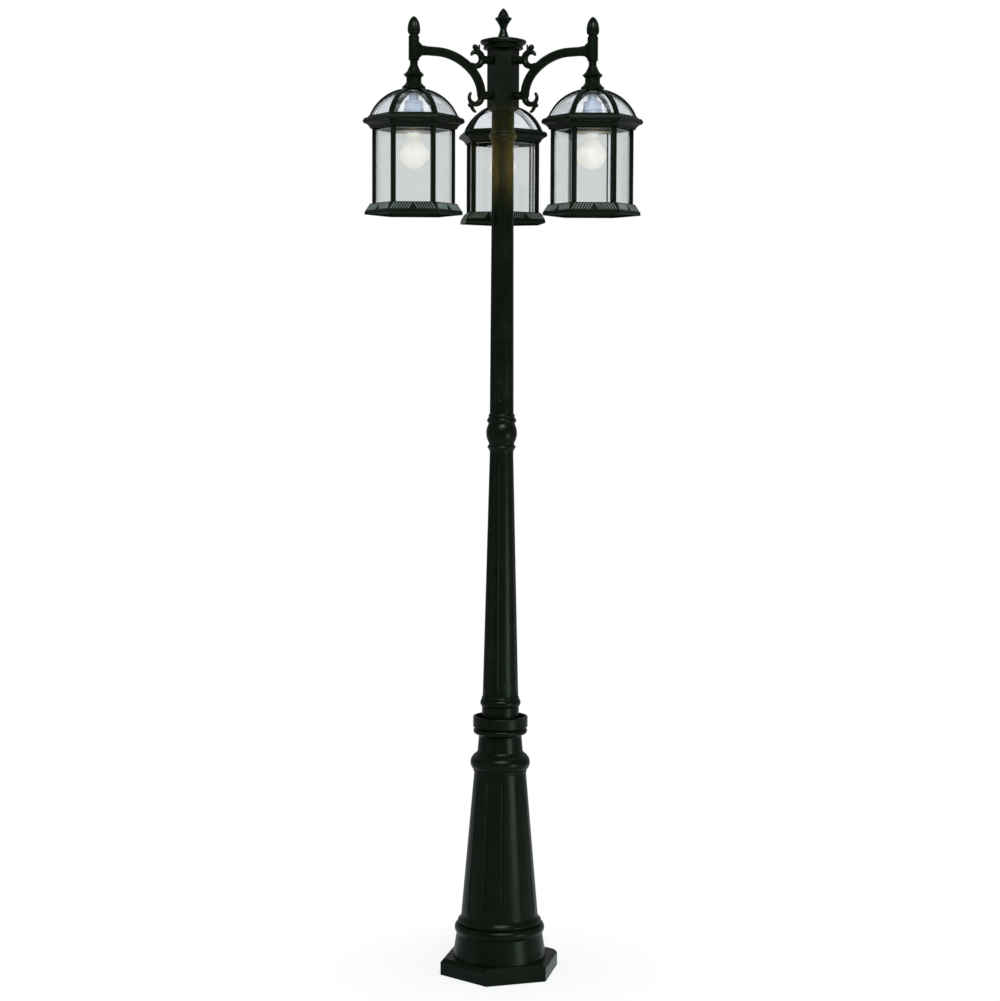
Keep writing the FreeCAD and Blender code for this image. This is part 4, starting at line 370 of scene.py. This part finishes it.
def skirt_point(turn_deg, across, up, out):
    """A point on a skirt's sloped face: across it, up its slope from the lip, and out from it."""
    low = Vector((SKIRT_LOW_RADIUS * HEXAGON_FLAT, SKIRT_LIP))
    high = Vector((SKIRT_TOP_RADIUS * HEXAGON_FLAT, SKIRT_HEIGHT))
    slope = (high - low).normalized()
    spot = low + slope * up + Vector((slope.y, -slope.x)) * out
    local = Vector((spot.x, across, spot.y))
    return Matrix.Rotation(math.radians(turn_deg), 3, "Z") @ local


def skirt_ribs(head, material):
    """Slanted ribs, leaning towards the middle of each of the skirt's six faces."""
    x, y = middle(f"stem_{head}")
    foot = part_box(f"cage_{head}")[0][2]
    corner = Vector((x, y, foot))
    length = math.hypot((SKIRT_LOW_RADIUS - SKIRT_TOP_RADIUS) * HEXAGON_FLAT, SKIRT_HEIGHT - SKIRT_LIP)
    points = []
    faces = []
    for face in range(HEXAGON_SIDES):
        turn = LANTERN_TURN_DEG[head] + 360.0 / HEXAGON_SIDES * face
        for side in (-1, 1):
            for index in range(RIBS_PER_HALF):
                start = side * (RIB_LEAN + RIB_PITCH * (index + 0.5))
                end = start - side * RIB_LEAN
                ring = []
                for up, across in ((RIB_MARGIN, start), (length - RIB_MARGIN, end)):
                    for width, out in (
                        (-RIB_WIDTH / 2, -RIB_HEIGHT / 2), (-RIB_RIDGE_WIDTH / 2, RIB_HEIGHT),
                        (RIB_RIDGE_WIDTH / 2, RIB_HEIGHT), (RIB_WIDTH / 2, -RIB_HEIGHT / 2),
                    ):
                        ring.append(corner + skirt_point(turn, across + width, up, out))
                base = len(points)
                points += ring
                for a, b in ((0, 1), (1, 2), (2, 3), (3, 0)):
                    faces.append((base + a, base + b, base + b + 4, base + a + 4))
                faces.append((base + 3, base + 2, base + 1, base))
                faces.append((base + 4, base + 5, base + 6, base + 7))
    return add_piece(f"skirt_ribs_{head}", points, faces, f"head_{head}", material)


def lobed_turning(name, centre, tip, profile, lobes, flute, body, material):
    """A turned shape whose wall is drawn in between its lobes, most where it is widest."""
    segments = lobes * SEGMENTS_PER_LOBE
    widest = max(radius for _, radius in profile)
    points = []
    for drop, radius in profile:
        for index in range(segments):
            angle = math.tau * index / segments
            crease = abs(math.sin(angle * lobes / 2)) ** CREASE_SHARPNESS
            reach = radius * MM * (1 - flute * crease * radius / widest)
            points.append((
                centre[0] + reach * math.cos(angle), centre[1] + reach * math.sin(angle), tip - drop * MM,
            ))
    faces = band_faces(len(profile), segments)
    faces.append(tuple(range(segments))[::-1])
    top = (len(profile) - 1) * segments
    faces.append(tuple(top + index for index in range(segments)))
    return add_piece(name, points, faces, body, material, LOBED_SMOOTH_DEG)


def finials(material):
    """Lobed acorns and top finial in place of the plain solids."""
    for head in HEADS:
        name = f"acorn_finial_{head}"
        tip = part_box(name)[1][2]
        piece = lobed_turning(f"lobed_acorn_{head}", middle(name), tip, ACORN_PROFILE, ACORN_LOBES, ACORN_FLUTE,
                              "post", material)
        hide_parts(name)
    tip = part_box("top_finial")[1][2]
    piece = lobed_turning("lobed_top_finial", middle("top_finial"), tip, FINIAL_PROFILE, FINIAL_LOBES, FINIAL_FLUTE,
                          "cap", material)
    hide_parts("top_finial")


def arm_lock_screws(material):
    """Dome-headed screws, one on the side of each arm."""
    for head in HEADS:
        turn = Matrix.Rotation(math.radians(ARM_TURN_DEG[head]), 4, "Z")
        side = 1 if head == 1 else -1
        points = []
        for ring in range(ARM_SCREW_RINGS + 1):
            share = ring / ARM_SCREW_RINGS
            radius = ARM_SCREW_RADIUS * math.cos(share * math.pi / 2 * ARM_SCREW_TOP_SHARE)
            out = ARM_SCREW_SEAT + ARM_SCREW_DOME * math.sin(share * math.pi / 2)
            for index in range(ARM_SCREW_SEGMENTS):
                angle = math.tau * index / ARM_SCREW_SEGMENTS
                spot = Vector((
                    ARM_SCREW_REACH + radius * math.cos(angle), side * out,
                    ARM_SCREW_LEVEL + radius * math.sin(angle),
                ))
                points.append(turn @ spot)
        faces = band_faces(ARM_SCREW_RINGS + 1, ARM_SCREW_SEGMENTS)
        top = ARM_SCREW_RINGS * ARM_SCREW_SEGMENTS
        faces.append(tuple(top + index for index in range(ARM_SCREW_SEGMENTS)))
        faces.append(tuple(range(ARM_SCREW_SEGMENTS))[::-1])
        add_piece(f"arm_lock_screw_{head}", points, faces, "post", material)


# ---------- studio ----------

def make_camera():
    """Camera that took the photograph."""
    data = bpy.data.cameras.new("camera")
    data.sensor_width = SENSOR_MM
    data.lens = FOCAL_PX * SENSOR_MM / IMAGE_HEIGHT_PX
    data.clip_end = CAMERA_CLIP_END
    item = bpy.data.objects.new("camera", data)
    bpy.context.scene.collection.objects.link(item)
    tilt = Matrix.Rotation(math.radians(90.0 - CAMERA_TILT_DEG), 4, "X")
    roll = Matrix.Rotation(math.radians(CAMERA_ROLL_DEG), 4, "Z")
    place = Matrix.Translation((CAMERA_SIDE, -CAMERA_DISTANCE, CAMERA_HEIGHT))
    item.matrix_world = place @ tilt @ roll
    bpy.context.scene.camera = item


def area_light(name, place, aim, width, height, power, colour):
    """Rectangular light that stands at a place and points at another."""
    data = bpy.data.lights.new(name, "AREA")
    data.shape = "RECTANGLE"
    data.size = width
    data.size_y = height
    data.energy = power
    data.color = colour
    item = bpy.data.objects.new(name, data)
    bpy.context.scene.collection.objects.link(item)
    item.location = place
    item.rotation_euler = (Vector(aim) - Vector(place)).to_track_quat("-Z", "Y").to_euler()
    return item


def make_lights():
    """Soft boxes at the sides, above and in front, and the lanterns' warm light on the post."""
    lights = {settings["name"]: area_light(**settings) for settings in STUDIO_LIGHTS}
    lights["top_box"].visible_glossy = False
    for head in HEADS:
        turn = math.radians(GLOW_TURN_DEG[head])
        place = (GLOW_REACH * math.cos(turn), GLOW_REACH * math.sin(turn), GLOW_LEVEL)
        glow = area_light(f"lantern_glow_{head}", place, (0, 0, GLOW_LEVEL + GLOW_AIM_RISE), GLOW_WIDTH, GLOW_HEIGHT,
                          GLOW_POWER[head], GLOW_COLOUR)
        glow.data.spread = math.radians(GLOW_SPREAD_DEG)
        glow.visible_camera = False
        glow.visible_glossy = False
        glow.visible_transmission = False


def background_share(tree):
    """How white the background is: all white for the camera and through glass, in part off gloss."""
    path = tree.nodes.new("ShaderNodeLightPath")
    gloss = tree.nodes.new("ShaderNodeMath")
    gloss.operation = "MULTIPLY"
    gloss.inputs[1].default_value = GLOSSY_WHITE_SHARE
    tree.links.new(path.outputs["Is Glossy Ray"], gloss.inputs[0])
    total = path.outputs["Is Camera Ray"]
    for seen in (gloss.outputs[0], path.outputs["Is Transmission Ray"]):
        add = tree.nodes.new("ShaderNodeMath")
        add.operation = "MAXIMUM"
        tree.links.new(total, add.inputs[0])
        tree.links.new(seen, add.inputs[1])
        total = add.outputs[0]
    return total


def make_world():
    """Cool even light all round, seen as plain white."""
    world = bpy.data.worlds.new("studio")
    world.use_nodes = True
    bpy.context.scene.world = world
    tree = world.node_tree
    light = tree.nodes["Background"]
    light.inputs["Color"].default_value = WORLD_COLOUR
    light.inputs["Strength"].default_value = WORLD_STRENGTH
    seen = tree.nodes.new("ShaderNodeBackground")
    seen.inputs["Color"].default_value = WHITE
    seen.inputs["Strength"].default_value = 1.0
    mix = tree.nodes.new("ShaderNodeMixShader")
    tree.links.new(background_share(tree), mix.inputs[0])
    tree.links.new(light.outputs[0], mix.inputs[1])
    tree.links.new(seen.outputs[0], mix.inputs[2])
    tree.links.new(mix.outputs[0], tree.nodes["World Output"].inputs["Surface"])


def floor_material():
    """Pale matt floor near the post that fades into the white background."""
    material, shader = new_material("pale_floor")
    tree = material.node_tree
    grain = noise(material, scale=40.0, detail=5.0)
    shade = ramp(material, grain, [(0.3, (0.86, 0.86, 0.86)), (0.7, (0.9, 0.9, 0.9))])
    link(material, shade, shader.inputs["Base Color"])
    shader.inputs["Roughness"].default_value = FLOOR_ROUGHNESS
    white = node(material, "ShaderNodeEmission")
    white.inputs["Color"].default_value = WHITE
    place = node(material, "ShaderNodeTexCoord")
    reach = node(material, "ShaderNodeVectorMath")
    reach.operation = "LENGTH"
    link(material, place.outputs["Object"], reach.inputs[0])
    fade = node(material, "ShaderNodeMapRange")
    fade.inputs["From Min"].default_value = FLOOR_FADE_START
    fade.inputs["From Max"].default_value = FLOOR_FADE_END
    fade.inputs["To Min"].default_value = FLOOR_WHITE_SHARE
    fade.inputs["To Max"].default_value = 1.0
    link(material, reach.outputs["Value"], fade.inputs["Value"])
    seen = node(material, "ShaderNodeMath")
    seen.operation = "MULTIPLY"
    link(material, background_share(tree), seen.inputs[0])
    link(material, fade.outputs["Result"], seen.inputs[1])
    mix = node(material, "ShaderNodeMixShader")
    link(material, seen.outputs[0], mix.inputs[0])
    link(material, shader.outputs[0], mix.inputs[1])
    link(material, white.outputs[0], mix.inputs[2])
    link(material, mix.outputs[0], tree.nodes["Material Output"].inputs["Surface"])
    return material


def make_floor():
    """Round floor under the post."""
    angles = [math.tau * index / FLOOR_SEGMENTS for index in range(FLOOR_SEGMENTS)]
    points = [(FLOOR_RADIUS * math.cos(angle), FLOOR_RADIUS * math.sin(angle), 0) for angle in angles]
    mesh = bpy.data.meshes.new("floor")
    mesh.from_pydata(points, [], [tuple(range(FLOOR_SEGMENTS))])
    mesh.materials.append(floor_material())
    item = bpy.data.objects.new("floor", mesh)
    bpy.context.scene.collection.objects.link(item)


def main():
    bpy.context.scene.view_settings.view_transform = "Standard"
    materials = make_materials()
    dress_nodes(materials)
    coat = materials["coated_aluminium"]
    # The skirt ribs take a lighter copy of the coat: a painted highlight on the raised ribs
    painted_highlight_coat = coat_material("painted_highlight_coat", RIB_HIGHLIGHT_STOPS)
    for head in HEADS:
        skirt_ribs(head, painted_highlight_coat)
    finials(coat)
    arm_lock_screws(coat)
    make_camera()
    make_lights()
    make_world()
    make_floor()


main()
